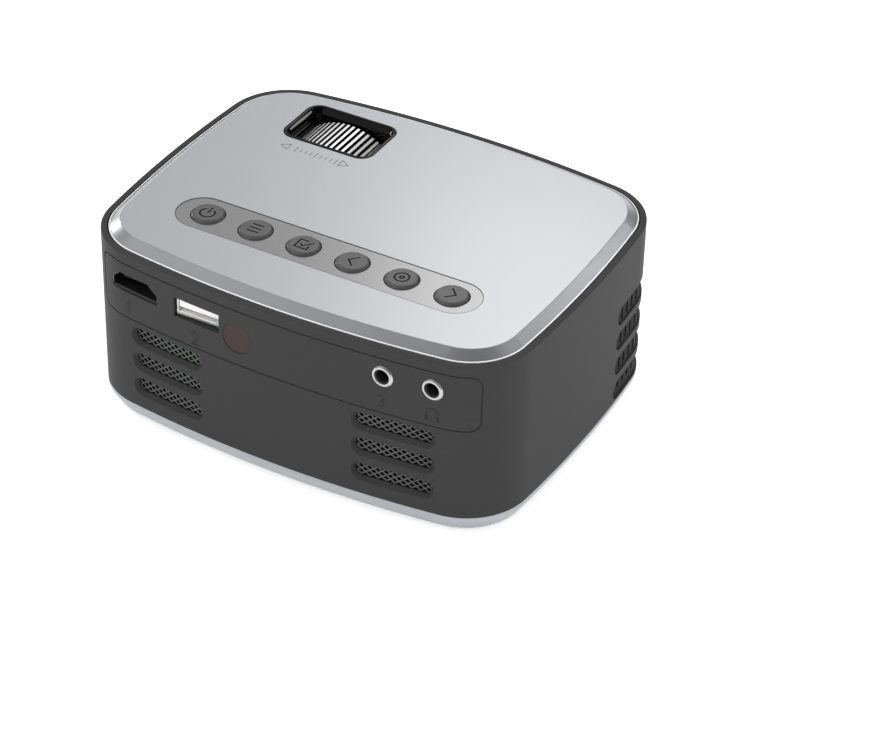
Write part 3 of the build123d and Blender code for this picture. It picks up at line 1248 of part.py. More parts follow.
# ---------------------------------------------------------------- the nodes
def all_nodes():
    nodes = {
        "body_shell": body_shell(),
        "top_cover": top_cover(),
        "base_cover": base_cover(),
        "rubber_feet": rubber_feet(),
        "case_screws": case_screws(),
        "tripod_nut": tripod_nut(),
        "button_strip": button_strip(),
        "key_board": key_board(),
        "key_switches": key_switches(),
        "board_screws": board_screws(),
        "focus_bezel": focus_bezel(),
        "focus_ring": focus_ring(),
        "lens_barrel": lens_barrel(),
        "front_lens": front_lens(),
        "rear_lens": rear_lens(),
        "lens_retainer": lens_retainer(),
        "lens_trim": lens_trim(),
        "lens_bracket": lens_bracket(),
        "engine_housing": engine_housing(),
        "fold_mirror": fold_mirror(),
        "condenser_lens": condenser_lens(),
        "fresnel_back": engine_sheet(FRESNEL_BACK_X, SHEET_THICKNESS),
        "lcd_panel": engine_sheet(PANEL_X, PANEL_THICKNESS),
        "fresnel_front": engine_sheet(FRESNEL_FRONT_X, SHEET_THICKNESS),
        "lcd_ribbon": lcd_ribbon(),
        "led_board": led_board(),
        "led_chip": led_chip(),
        "heat_sink": heat_sink(),
        "fan_frame": fan_frame(),
        "fan_rotor": fan_rotor(),
        "rear_grille_left": rear_grille(VENT_X),
        "rear_grille_right": rear_grille(-VENT_X),
        "side_grille_left": side_grille(1),
        "side_grille_right": side_grille(-1),
        "main_board": main_board(),
        "board_chips": board_chips(),
        "hdmi_socket": hdmi_socket(),
        "hdmi_tongue": hdmi_tongue(),
        "usb_socket": usb_socket(),
        "usb_tongue": usb_tongue(),
        "ir_window": ir_window(),
        "ir_receiver": ir_receiver(),
        "av_jack": jack(AV_X),
        "av_collar": jack_collar(AV_X),
        "headphone_jack": jack(HEADPHONE_X),
        "headphone_collar": jack_collar(HEADPHONE_X),
        "dc_inlet": dc_inlet(),
        "dc_pin": dc_pin(),
        "speaker": speaker(),
        "speaker_magnet": speaker_magnet(),
    }
    for name, x in zip(KEY_NAMES, KEY_XS):
        nodes["button_" + name] = key_cap(x)
    return nodes


os.makedirs("parts", exist_ok=True)
for node, shape in all_nodes().items():
    export_step(shape, "parts/" + node + ".step")
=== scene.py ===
"""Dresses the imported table-top projector: studio, finishes and fine pieces round its frame."""

from __future__ import annotations

import json
import logging
import math
from dataclasses import dataclass
from enum import Enum
from functools import partial
from typing import Callable, Sequence

import bmesh
import bpy
from mathutils import Matrix, Vector

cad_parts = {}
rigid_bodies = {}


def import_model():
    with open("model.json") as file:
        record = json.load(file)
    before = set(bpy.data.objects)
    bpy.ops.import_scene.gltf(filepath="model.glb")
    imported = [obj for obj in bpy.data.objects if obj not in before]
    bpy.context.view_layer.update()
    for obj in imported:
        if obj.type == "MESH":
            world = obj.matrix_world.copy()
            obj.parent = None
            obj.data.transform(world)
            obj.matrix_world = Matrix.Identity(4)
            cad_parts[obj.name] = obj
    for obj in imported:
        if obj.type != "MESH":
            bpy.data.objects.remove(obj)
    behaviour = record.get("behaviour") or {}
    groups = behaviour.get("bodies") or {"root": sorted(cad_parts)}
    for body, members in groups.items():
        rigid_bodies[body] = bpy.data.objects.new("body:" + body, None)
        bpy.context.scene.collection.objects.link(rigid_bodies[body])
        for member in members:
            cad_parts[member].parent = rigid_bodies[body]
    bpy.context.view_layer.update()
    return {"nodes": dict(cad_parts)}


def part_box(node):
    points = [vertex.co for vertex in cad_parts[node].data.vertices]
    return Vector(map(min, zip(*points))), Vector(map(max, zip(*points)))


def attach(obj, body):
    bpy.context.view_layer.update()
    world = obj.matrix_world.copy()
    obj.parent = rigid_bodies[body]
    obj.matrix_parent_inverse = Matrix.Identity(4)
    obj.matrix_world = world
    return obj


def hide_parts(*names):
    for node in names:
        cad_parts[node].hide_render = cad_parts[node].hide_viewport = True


LOG = logging.getLogger("projector")
MM = 0.001

Colour = tuple[float, float, float]
Flat = tuple[float, float]
Spot = tuple[float, float, float]
Placer = Callable[[float, float, float], Vector]

AXIS_X = Vector((1, 0, 0))
AXIS_Y = Vector((0, 1, 0))
AXIS_Z = Vector((0, 0, 1))
SQUARE = ((-1, -1), (1, -1), (1, 1), (-1, 1))


class KeySign(Enum):
    """The sign cut into each key, by the key's name."""

    POWER = "power"
    MENU = "menu"
    SOURCE = "source"
    LEFT = "left"
    OK = "ok"
    RIGHT = "right"


class Slot(Enum):
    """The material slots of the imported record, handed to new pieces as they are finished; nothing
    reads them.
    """

    SHELL = "dark_shell"
    COVER = "silver_cover"
    KEY = "key_plastic"
    GLOSS = "gloss_black"
    BLACK = "black_plastic"
    MESH = "mesh_metal"
    RUBBER = "rubber"
    STEEL = "steel"
    BRASS = "brass"
    WHITE = "white_plastic"


# ---------------------------------------------------------------- node trees
@dataclass(frozen=True)
class Wiring:
    """Adds nodes to one tree and joins them."""

    tree: bpy.types.NodeTree

    def add(self, kind: str, **settings: object) -> bpy.types.Node:
        """Adds a node.

        Args:
            kind: Blender's name for the node type.
            settings: Attributes of the node, or defaults of its sockets, by name with
                spaces as underscores.

        Returns:
            The new node.
        """
        node = self.tree.nodes.new(kind)
        for key, value in settings.items():
            if hasattr(node, key):
                setattr(node, key, value)
            else:
                node.inputs[key.replace("_", " ")].default_value = value
        return node

    def join(self, source: bpy.types.NodeSocket, target: bpy.types.NodeSocket) -> None:
        """Links one output to one input."""
        self.tree.links.new(source, target)

    def math(self, operation: str, first: object, second: object = 0.0) -> bpy.types.NodeSocket:
        """Adds a math node.

        Args:
            operation: Blender's name for the operation.
            first: The first value, as a socket or a number.
            second: The second value, as a socket or a number.

        Returns:
            The node's output.
        """
        node = self.add("ShaderNodeMath", operation=operation)
        for place, value in enumerate((first, second)):
            if isinstance(value, bpy.types.NodeSocket):
                self.join(value, node.inputs[place])
            else:
                node.inputs[place].default_value = value
        return node.outputs[0]

    def mix(self, mask: object, low: object, high: object) -> bpy.types.NodeSocket:
        """Mixes two colours.

        Args:
            mask: The share of the second colour, as a socket or a number.
            low: The first colour, as a socket or three numbers.
            high: The second colour, as a socket or three numbers.

        Returns:
            The mixed colour.
        """
        node = self.add("ShaderNodeMix", data_type="RGBA")
        for place, value in ((0, mask), (6, low), (7, high)):
            if isinstance(value, bpy.types.NodeSocket):
                self.join(value, node.inputs[place])
            else:
                node.inputs[place].default_value = value if place == 0 else (*value, 1.0)
        return node.outputs[2]


def smooth_step(
    wiring: Wiring, value: bpy.types.NodeSocket, low: float, high: float
) -> bpy.types.NodeSocket:
    """Turns a value into a soft mask.

    Args:
        wiring: The tree's wiring.
        value: The value.
        low: Where the mask is 0.
        high: Where the mask is 1.

    Returns:
        The mask.
    """
    node = wiring.add("ShaderNodeMapRange", interpolation_type="SMOOTHSTEP")
    wiring.join(value, node.inputs["Value"])
    node.inputs["From Min"].default_value = low
    node.inputs["From Max"].default_value = high
    return node.outputs["Result"]


def lobe(
    wiring: Wiring, where: bpy.types.Node, toward: Spot, low: float, high: float
) -> bpy.types.NodeSocket:
    """Masks a soft round patch of the sky.

    Args:
        wiring: The world's wiring.
        where: The node whose Generated output is the direction.
        toward: The patch's middle.
        low: The cosine at its rim.
        high: The cosine where it is full.

    Returns:
        The mask.
    """
    along = wiring.add("ShaderNodeVectorMath", operation="DOT_PRODUCT")
    wiring.join(where.outputs["Generated"], along.inputs[0])
    along.inputs[1].default_value = toward
    return smooth_step(wiring, along.outputs["Value"], low, high)


def start_group(
    name: str, inputs: dict[str, float], outputs: Sequence[str]
) -> tuple[Wiring, bpy.types.Node, bpy.types.Node]:
    """Opens a new shader group.

    Args:
        name: The group's name.
        inputs: Its value inputs with their defaults.
        outputs: The names of its value outputs.

    Returns:
        The group's wiring, its input node and its output node.
    """
    tree = bpy.data.node_groups.new(name, "ShaderNodeTree")
    for label, value in inputs.items():
        socket = tree.interface.new_socket(label, in_out="INPUT", socket_type="NodeSocketFloat")
        socket.default_value = value
    for label in outputs:
        tree.interface.new_socket(label, in_out="OUTPUT", socket_type="NodeSocketFloat")
    wiring = Wiring(tree)
    return wiring, wiring.add("NodeGroupInput"), wiring.add("NodeGroupOutput")


class Effects:
    """The shader groups that several finishes share, each built once."""

    def __init__(self) -> None:
        """Builds every group."""
        self.grain = self._grain()
        self.drift = self._drift()
        self.edge = self._edge()
        self.brush = self._brush()
        self.dust = self._dust()

    @staticmethod
    def _grain() -> bpy.types.NodeTree:
        """Fine moulded grain: a height and a tone, both about a half."""
        inputs = {"Cells": 3000.0, "Contrast": 0.5}
        wiring, given, out = start_group("fine_grain", inputs, ("Height", "Tone"))
        place = wiring.add("ShaderNodeTexCoord")
        noise = wiring.add("ShaderNodeTexNoise", Detail=2.0, Roughness=0.6)
        wiring.join(place.outputs["Object"], noise.inputs["Vector"])
        wiring.join(given.outputs["Cells"], noise.inputs["Scale"])
        centred = wiring.math("SUBTRACT", noise.outputs["Fac"], 0.5)
        spread = wiring.math("MULTIPLY", centred, given.outputs["Contrast"])
        wiring.join(noise.outputs["Fac"], out.inputs["Height"])
        wiring.join(wiring.math("ADD", spread, 0.5), out.inputs["Tone"])
        return wiring.tree

    @staticmethod
    def _drift() -> bpy.types.NodeTree:
        """Slow change of tone over a large surface, as paint and mouldings have."""
        wiring, given, out = start_group("slow_drift", {"Cells": 25.0, "Contrast": 0.5}, ("Tone",))
        place = wiring.add("ShaderNodeTexCoord")
        noise = wiring.add("ShaderNodeTexNoise", Detail=1.0)
        wiring.join(place.outputs["Object"], noise.inputs["Vector"])
        wiring.join(given.outputs["Cells"], noise.inputs["Scale"])
        centred = wiring.math("SUBTRACT", noise.outputs["Fac"], 0.5)
        spread = wiring.math("MULTIPLY", centred, given.outputs["Contrast"])
        wiring.join(wiring.math("ADD", spread, 0.5), out.inputs["Tone"])
        return wiring.tree

    @staticmethod
    def _edge() -> bpy.types.NodeTree:
        """A mask of the edges, from how far a rounded normal leaves the true one; finishes lighten
        their edges by it, a painted highlight.
        """
        inputs = {"Width": 0.0003, "Strength": 3.0}
        wiring, given, out = start_group("painted_edge_highlight", inputs, ("Mask",))
        rounded = wiring.add("ShaderNodeBevel", samples=4)
        wiring.join(given.outputs["Width"], rounded.inputs["Radius"])
        shape = wiring.add("ShaderNodeNewGeometry")
        product = wiring.add("ShaderNodeVectorMath", operation="DOT_PRODUCT")
        wiring.join(rounded.outputs["Normal"], product.inputs[0])
        wiring.join(shape.outputs["Normal"], product.inputs[1])
        bend = wiring.math("SUBTRACT", 1.0, product.outputs["Value"])
        raised = wiring.math("MULTIPLY", bend, given.outputs["Strength"])
        wiring.join(wiring.math("MINIMUM", raised, 1.0), out.inputs["Mask"])
        return wiring.tree

    @staticmethod
    def _brush() -> bpy.types.NodeTree:
        """Fine straight lines, as drawn surfaces have, with a squeeze along X and Y."""
        inputs = {"Lines": 4000.0, "Squeeze X": 0.02, "Squeeze Y": 1.0}
        wiring, given, out = start_group("brushed_lines", inputs, ("Height", "Tone"))
        place = wiring.add("ShaderNodeTexCoord")
        squeeze = wiring.add("ShaderNodeCombineXYZ", Z=1.0)
        wiring.join(given.outputs["Squeeze X"], squeeze.inputs["X"])
        wiring.join(given.outputs["Squeeze Y"], squeeze.inputs["Y"])
        stretched = wiring.add("ShaderNodeVectorMath", operation="MULTIPLY")
        wiring.join(place.outputs["Object"], stretched.inputs[0])
        wiring.join(squeeze.outputs["Vector"], stretched.inputs[1])
        noise = wiring.add("ShaderNodeTexNoise", Detail=2.0)
        wiring.join(stretched.outputs["Vector"], noise.inputs["Vector"])
        wiring.join(given.outputs["Lines"], noise.inputs["Scale"])
        wiring.join(noise.outputs["Fac"], out.inputs["Height"])
        wiring.join(noise.outputs["Fac"], out.inputs["Tone"])
        return wiring.tree

    @staticmethod
    def _dust() -> bpy.types.NodeTree:
        """A thin patchy film on what faces up."""
        wiring, given, out = start_group("settled_dust", {"Amount": 0.1}, ("Mask",))
        place = wiring.add("ShaderNodeTexCoord")
        noise = wiring.add("ShaderNodeTexNoise", Scale=180.0, Detail=4.0, Roughness=0.7)
        wiring.join(place.outputs["Object"], noise.inputs["Vector"])
        shape = wiring.add("ShaderNodeNewGeometry")
        parts = wiring.add("ShaderNodeSeparateXYZ")
        wiring.join(shape.outputs["Normal"], parts.inputs["Vector"])
        upward = wiring.math("MAXIMUM", parts.outputs["Z"], 0.0)
        clumps = wiring.math("POWER", noise.outputs["Fac"], 2.0)
        patches = wiring.math("MULTIPLY", clumps, upward)
        wiring.join(wiring.math("MULTIPLY", patches, given.outputs["Amount"]), out.inputs["Mask"])
        return wiring.tree


# ---------------------------------------------------------------- finishes
DUST_COLOUR: Colour = (0.5, 0.49, 0.47)
GRAIN_ON_ROUGHNESS = 0.6


@dataclass(frozen=True)
class Finish:
    """A moulded or painted surface: its colour with grain, drift, a painted highlight on its edges,
    and dust.

    Attributes:
        name: The material's name.
        colour: Its main colour.
        roughness: How dull it is.
        metallic: Its share of metal.
        specular: Its specular level.
        coat: The weight of a clear coat.
        cells: Grain cells per metre.
        grain: How far the grain changes the tone.
        bump: The grain's depth in metres.
        drift: How far the tone drifts over the surface.
        edge: How far edges are lighter, as a painted highlight.
        dust: How much dust lies on top.
        lines: The squeeze along X and Y where the grain is drawn out in lines.
    """

    name: str
    colour: Colour
    roughness: float = 0.5
    metallic: float = 0.0
    specular: float = 0.5
    coat: float = 0.0
    cells: float = 2500.0
    grain: float = 0.12
    bump: float = 0.00002
    drift: float = 0.08
    edge: float = 0.06
    dust: float = 0.02
    lines: Flat | None = None

    def material(self, effects: Effects) -> bpy.types.Material:
        """Gives the finish's material, built on its first use.

        Args:
            effects: The shared shader groups.

        Returns:
            The material.
        """
        made = bpy.data.materials.get(self.name)
        if made is not None:
            return made
        made = bpy.data.materials.new(self.name)
        made.use_nodes = True
        wiring = Wiring(made.node_tree)
        self.wire(wiring, made.node_tree.nodes["Principled BSDF"], effects)
        made.diffuse_color = (*self.colour, 1.0)
        return made

    def wire(self, wiring: Wiring, shader: bpy.types.Node, effects: Effects) -> None:
        """Wires the shader.

        Args:
            wiring: The material's wiring.
            shader: Its principled shader.
            effects: The shared shader groups.
        """
        fine = self.place(wiring, effects.grain if self.lines is None else effects.brush)
        fine.inputs[0].default_value = self.cells
        if self.lines is not None:
            fine.inputs["Squeeze X"].default_value = self.lines[0]
            fine.inputs["Squeeze Y"].default_value = self.lines[1]
        slow = self.place(wiring, effects.drift)
        slow.inputs["Contrast"].default_value = self.drift
        edge = self.place(wiring, effects.edge)
        film = self.place(wiring, effects.dust)
        film.inputs["Amount"].default_value = self.dust
        centred = wiring.math("SUBTRACT", fine.outputs["Tone"], 0.5)
        grain = wiring.math("MULTIPLY", centred, self.grain)
        tone = wiring.math("ADD", grain, slow.outputs["Tone"])
        lifted = wiring.math("ADD", wiring.math("SUBTRACT", tone, 0.5), 1.0)
        # Edges are lightened by the edge mask: a painted highlight.
        highlighted = wiring.math("MULTIPLY", edge.outputs["Mask"], self.edge)
        base = wiring.add("ShaderNodeVectorMath", operation="SCALE")
        base.inputs[0].default_value = self.colour
        wiring.join(wiring.math("ADD", lifted, highlighted), base.inputs["Scale"])
        dusty = wiring.mix(film.outputs["Mask"], base.outputs["Vector"], DUST_COLOUR)
        wiring.join(dusty, shader.inputs["Base Color"])
        varied = wiring.math("MULTIPLY", grain, GRAIN_ON_ROUGHNESS)
        rough = wiring.math("ADD", varied, self.roughness)
        wiring.join(wiring.math("ADD", rough, film.outputs["Mask"]), shader.inputs["Roughness"])
        relief = wiring.add("ShaderNodeBump", Strength=1.0, Distance=self.bump)
        wiring.join(fine.outputs["Height"], relief.inputs["Height"])
        wiring.join(relief.outputs["Normal"], shader.inputs["Normal"])
        shader.inputs["Metallic"].default_value = self.metallic
        shader.inputs["Specular IOR Level"].default_value = self.specular
        shader.inputs["Coat Weight"].default_value = self.coat

    @staticmethod
    def place(wiring: Wiring, tree: bpy.types.NodeTree) -> bpy.types.Node:
        """Puts a shared group into the material.

        Args:
            wiring: The material's wiring.
            tree: The group.

        Returns:
            The group's node.
        """
        return wiring.add("ShaderNodeGroup", node_tree=tree)


@dataclass(frozen=True)
class RibbedSilver(Finish):
    """The focus wheel: rib crowns with a painted highlight, and grooves darkened with painted
    shade; the collar and journals are dark as well.

    Attributes:
        axis_x: The wheel's axis.
        axis_z: Its height.
        groove: The radius below which it is darkened with painted shade.
        crown: The radius above which it is bright, a painted highlight.
        collar_y: Where the ribs begin.
        collar_soft: How far before and after that the tone changes.
        ribs: How many there are.
        bright: The cosines, round one rib, between which its middle turns bright, a painted
            highlight.
        shade: The colour of what is dark: painted shade below and beside the crowns.
        dull: Its roughness.
    """

    axis_x: float = 0.0293
    axis_z: float = 0.0363
    groove: float = 0.01695
    crown: float = 0.01722
    collar_y: float = -0.0361
    collar_soft: Flat = (0.0002, 0.0001)
    ribs: int = 68
    bright: Flat = (0.0, 0.5)
    shade: Colour = (0.006, 0.006, 0.006)
    dull: float = 0.55

    def wire(self, wiring: Wiring, shader: bpy.types.Node, effects: Effects) -> None:
        """Wires the silver, then darkens what lies below the crowns as painted shade, leaving their
        middles bright as a painted highlight.

        Args:
            wiring: The material's wiring.
            shader: Its principled shader.
            effects: The shared shader groups.
        """
        super().wire(wiring, shader, effects)
        place = wiring.add("ShaderNodeTexCoord")
        parts = wiring.add("ShaderNodeSeparateXYZ")
        wiring.join(place.outputs["Object"], parts.inputs["Vector"])
        across = wiring.math("SUBTRACT", parts.outputs["X"], self.axis_x)
        upward = wiring.math("SUBTRACT", parts.outputs["Z"], self.axis_z)
        across_squared = wiring.math("POWER", across, 2.0)
        upward_squared = wiring.math("POWER", upward, 2.0)
        reach = wiring.math("SQRT", wiring.math("ADD", across_squared, upward_squared))
        angle = wiring.math("ARCTAN2", upward, across)
        turn = wiring.math("MULTIPLY", angle, float(self.ribs))
        middle = smooth_step(wiring, wiring.math("COSINE", turn), *self.bright)
        before, after = self.collar_soft
        start, end = self.collar_y - before, self.collar_y + after
        ribbed = smooth_step(wiring, parts.outputs["Y"], start, end)
        high = smooth_step(wiring, reach, self.groove, self.crown)
        # Crown mask: a painted highlight on the rib middles; the rest takes the painted shade
        # colour.
        crown = wiring.math("MULTIPLY", wiring.math("MULTIPLY", high, ribbed), middle)
        silver = shader.inputs["Base Color"].links[0].from_socket
        wiring.join(wiring.mix(crown, self.shade, silver), shader.inputs["Base Color"])
        wiring.join(wiring.math("MULTIPLY", crown, self.metallic), shader.inputs["Metallic"])
        smoother = wiring.math("MULTIPLY", crown, self.dull - self.roughness)
        wiring.join(wiring.math("SUBTRACT", self.dull, smoother), shader.inputs["Roughness"])


@dataclass(frozen=True)
class ClearGlass(Finish):
    """Coated glass: clear, with a faint tint.

    Attributes:
        deeper: How far the drifting tint darkens.
        index: The index of refraction.
        sheen: The coating's tint.
    """

    deeper: float = 0.8
    index: float = 1.5
    sheen: Colour = (0.75, 0.65, 1.0)

    def wire(self, wiring: Wiring, shader: bpy.types.Node, effects: Effects) -> None:
        """Wires a clear shader whose tint drifts slightly.

        Args:
            wiring: The material's wiring.
            shader: Its principled shader.
            effects: The shared shader groups.
        """
        slow = self.place(wiring, effects.drift)
        slow.inputs["Contrast"].default_value = self.drift
        deeper = tuple(self.deeper * part for part in self.colour)
        tint = wiring.mix(slow.outputs["Tone"], self.colour, deeper)
        wiring.join(tint, shader.inputs["Base Color"])
        film = self.place(wiring, effects.dust)
        film.inputs["Amount"].default_value = self.dust
        hazed = wiring.math("ADD", film.outputs["Mask"], self.roughness)
        wiring.join(hazed, shader.inputs["Roughness"])
        shader.inputs["Transmission Weight"].default_value = 1.0
        shader.inputs["IOR"].default_value = self.index
        shader.inputs["Coat Weight"].default_value = self.coat
        shader.inputs["Coat Tint"].default_value = (*self.sheen, 1.0)


@dataclass(frozen=True)
class SolderMask(Finish):
    """A printed board: green mask with paler tracks.

    Attributes:
        paler: How much brighter the tracks are.
        darker: How far the mask darkens where it drifts.
        track: How strongly the tracks show.
        patches: Cells of the drift per metre.
    """

    paler: float = 1.8
    darker: float = 0.6
    track: float = 0.8
    patches: float = 220.0

    def wire(self, wiring: Wiring, shader: bpy.types.Node, effects: Effects) -> None:
        """Wires the mask with its tracks.

        Args:
            wiring: The material's wiring.
            shader: Its principled shader.
            effects: The shared shader groups.
        """
        place = wiring.add("ShaderNodeTexCoord")
        turn = wiring.add("ShaderNodeMapping")
        turn.inputs["Rotation"].default_value = (math.pi / 2, 0.0, 0.0)
        wiring.join(place.outputs["Object"], turn.inputs["Vector"])
        sizes = {"Scale": 260.0, "Mortar_Size": 0.012, "Brick_Width": 2.6, "Row_Height": 0.32}
        tracks = wiring.add("ShaderNodeTexBrick", **sizes)
        wiring.join(turn.outputs["Vector"], tracks.inputs["Vector"])
        slow = self.place(wiring, effects.drift)
        slow.inputs["Cells"].default_value = self.patches
        paler = tuple(self.paler * part for part in self.colour)
        darker = tuple(self.darker * part for part in self.colour)
        base = wiring.mix(slow.outputs["Tone"], self.colour, darker)
        lines = wiring.math("MULTIPLY", tracks.outputs["Fac"], self.track)
        wiring.join(wiring.mix(lines, base, paler), shader.inputs["Base Color"])
        shader.inputs["Roughness"].default_value = self.roughness
        relief = wiring.add("ShaderNodeBump", Strength=1.0, Distance=self.bump)
        wiring.join(tracks.outputs["Fac"], relief.inputs["Height"])
        wiring.join(relief.outputs["Normal"], shader.inputs["Normal"])


DRAWN_ROUND: Flat = (0.03, 0.03)
DRAWN_ALONG: Flat = (0.02, 1.0)
SHELL = Finish(
    "moulded_charcoal", (0.0405, 0.0405, 0.0408), roughness=0.55, specular=0.12,
    cells=3200.0, grain=0.2, bump=0.000006, drift=0.06, edge=0.3, lines=DRAWN_ROUND,
)
COVER = Finish(
    "satin_silver", (0.56, 0.565, 0.59), roughness=0.33, metallic=0.8, cells=3800.0,
    grain=0.05, bump=0.000003, drift=0.03, edge=0.1,
)
PAN = Finish(
    "satin_silver_pan", (0.39, 0.40, 0.425), roughness=0.35, metallic=0.8, cells=3800.0,
    grain=0.06, bump=0.000004, edge=0.15,
)
STRIP = Finish(
    "inlaid_strip", (0.36, 0.36, 0.363), roughness=0.25, metallic=0.95, cells=3500.0,
    grain=0.05, bump=0.000001, drift=0.02, edge=0.0, dust=0.0, lines=DRAWN_ALONG,
)
KEY = Finish(
    "key_metal_paint", (0.13, 0.13, 0.13), roughness=0.4, metallic=0.5, cells=3500.0,
    grain=0.06, bump=0.000004, edge=0.3,
)
# Dark colour of the cut signs: partly paint, partly painted shade in the cuts.
KEY_CUT = Finish("key_cut", (0.02, 0.02, 0.02), roughness=0.8, specular=0.1)
GLOSS = Finish(
    "gloss_rim_black", (0.002, 0.002, 0.0022), roughness=0.07, specular=0.26, grain=0.02,
    bump=0.0000005, edge=0.1, dust=0.0,
)
BLACK = Finish(
    "matt_black", (0.016, 0.016, 0.017), roughness=0.6, specular=0.3, cells=2600.0,
    edge=0.3,
)
WHEEL = RibbedSilver(
    "ribbed_wheel_silver", (0.90, 0.90, 0.90), roughness=0.3, metallic=0.5, specular=0.2,
    cells=3500.0, grain=0.05, bump=0.000002,
)
MESH = Finish(
    "mesh_black", (0.075, 0.075, 0.075), roughness=0.45, metallic=0.2, cells=3000.0,
    edge=0.4,
)
SHEET = Finish(
    "sheet_black", (0.012, 0.012, 0.012), roughness=0.6, specular=0.2, cells=3000.0,
    edge=0.2,
)
LOUVRE = Finish(
    "louvre_black", (0.011, 0.011, 0.011), roughness=0.7, specular=0.15, cells=2600.0,
    grain=0.1, edge=0.1, lines=DRAWN_ROUND,
)
RUBBER = Finish(
    "foot_rubber", (0.02, 0.02, 0.02), roughness=0.85, specular=0.2, cells=1800.0,
    bump=0.00004, dust=0.2,
)
STEEL = Finish(
    "plated_steel", (0.82, 0.82, 0.82), roughness=0.35, metallic=1.0, cells=4000.0,
    grain=0.1, bump=0.000003,
)
# Plated steel darkened as painted shade, standing for the shade inside the wide socket.
SHADED_SOCKET_STEEL = Finish(
    "socket_steel_painted_shade", (0.13, 0.13, 0.13), roughness=0.4, metallic=1.0, cells=4000.0,
    grain=0.1, bump=0.000003,
)
CHROME = Finish(
    "bright_collar", (0.50, 0.50, 0.505), roughness=0.3, metallic=0.7, cells=3000.0,
    grain=0.04, bump=0.000001,
)
BRASS = Finish(
    "turned_brass", (0.70, 0.52, 0.24), roughness=0.32, metallic=1.0, cells=4000.0,
    bump=0.000003,
)
BOARD = SolderMask("solder_mask", (0.03, 0.72, 0.11), roughness=0.35, bump=0.00003)
WHITE = Finish("white_insulator", (0.9, 0.9, 0.9), roughness=0.3, grain=0.02, dust=0.0)
MAROON = Finish(
    "infrared_window", (0.034, 0.0155, 0.016), roughness=0.35, specular=0.25, grain=0.03,
    bump=0.000001,
)
ALUMINIUM = Finish(
    "extruded_aluminium", (0.74, 0.74, 0.75), roughness=0.38, metallic=1.0, cells=3000.0,
    lines=DRAWN_ALONG,
)
GLASS = ClearGlass("coated_glass", (0.93, 0.97, 0.98), roughness=0.02, coat=0.6, dust=0.01)
MIRROR = Finish(
    "front_silvered", (0.9, 0.9, 0.9), roughness=0.03, metallic=1.0, grain=0.01, bump=0.0,
    dust=0.01,
)
PANEL = Finish(
    "picture_panel", (0.025, 0.028, 0.034), roughness=0.12, coat=0.6, grain=0.02,
    bump=0.000001,
)
AMBER = Finish("flex_film", (0.50, 0.26, 0.07), roughness=0.3, lines=DRAWN_ALONG)
PHOSPHOR = Finish("lamp_phosphor", (0.86, 0.72, 0.18), roughness=0.55, grain=0.1)
MARK = Finish("legend_grey", (0.14, 0.14, 0.145), roughness=0.6, specular=0.2)
# Darker than the wall: painted shade standing for the shade in debossed lettering.
WALL_MARK_SHADE = Finish("wall_legend_painted_shade", (0.026, 0.026, 0.026), roughness=0.7, specular=0.15)
GOLD = Finish("contact_gold", (0.83, 0.62, 0.28), roughness=0.25, metallic=1.0, grain=0.05)
# Near-white edge bead: a polished edge, lighter than the lid partly as a painted highlight.
LID_EDGE_HIGHLIGHT = Finish(
    "lid_edge_painted_highlight", (0.92, 0.92, 0.93), roughness=0.2, metallic=0.2, grain=0.03,
    bump=0.000001, edge=0.0, dust=0.0,
)

NODE_FINISHES: dict[str, Finish] = {
    "body_shell": SHELL,
    "top_cover": COVER,
    "base_cover": PAN,
    "rubber_feet": RUBBER,
    "case_screws": STEEL,
    "tripod_nut": BRASS,
    "button_strip": STRIP,
    "key_board": BOARD,
    "key_switches": BLACK,
    "board_screws": STEEL,
    "focus_bezel": GLOSS,
    "focus_ring": WHEEL,
    "lens_barrel": BLACK,
    "front_lens": GLASS,
    "rear_lens": GLASS,
    "lens_retainer": BLACK,
    "lens_trim": GLOSS,
    "lens_bracket": BLACK,
    "engine_housing": BLACK,
    "fold_mirror": MIRROR,
    "condenser_lens": GLASS,
    "fresnel_back": GLASS,
    "lcd_panel": PANEL,
    "fresnel_front": GLASS,
    "lcd_ribbon": AMBER,
    "led_board": BOARD,
    "led_chip": PHOSPHOR,
    "heat_sink": ALUMINIUM,
    "fan_frame": BLACK,
    "fan_rotor": BLACK,
    "rear_grille_left": SHEET,
    "rear_grille_right": SHEET,
    "side_grille_left": LOUVRE,
    "side_grille_right": LOUVRE,
    "main_board": BOARD,
    "board_chips": BLACK,
    "hdmi_socket": SHADED_SOCKET_STEEL,
    "hdmi_tongue": BLACK,
    "usb_socket": STEEL,
    "usb_tongue": WHITE,
    "ir_window": MAROON,
    "ir_receiver": BLACK,
    "av_jack": BLACK,
    "av_collar": CHROME,
    "headphone_jack": BLACK,
    "headphone_collar": CHROME,
    "dc_inlet": BLACK,
    "dc_pin": STEEL,
    "speaker": BLACK,
    "speaker_magnet": STEEL,
    **{f"button_{sign.value}": KEY for sign in KeySign},
}


# ---------------------------------------------------------------- mesh making
BLUNTEST_MITRE = 0.4


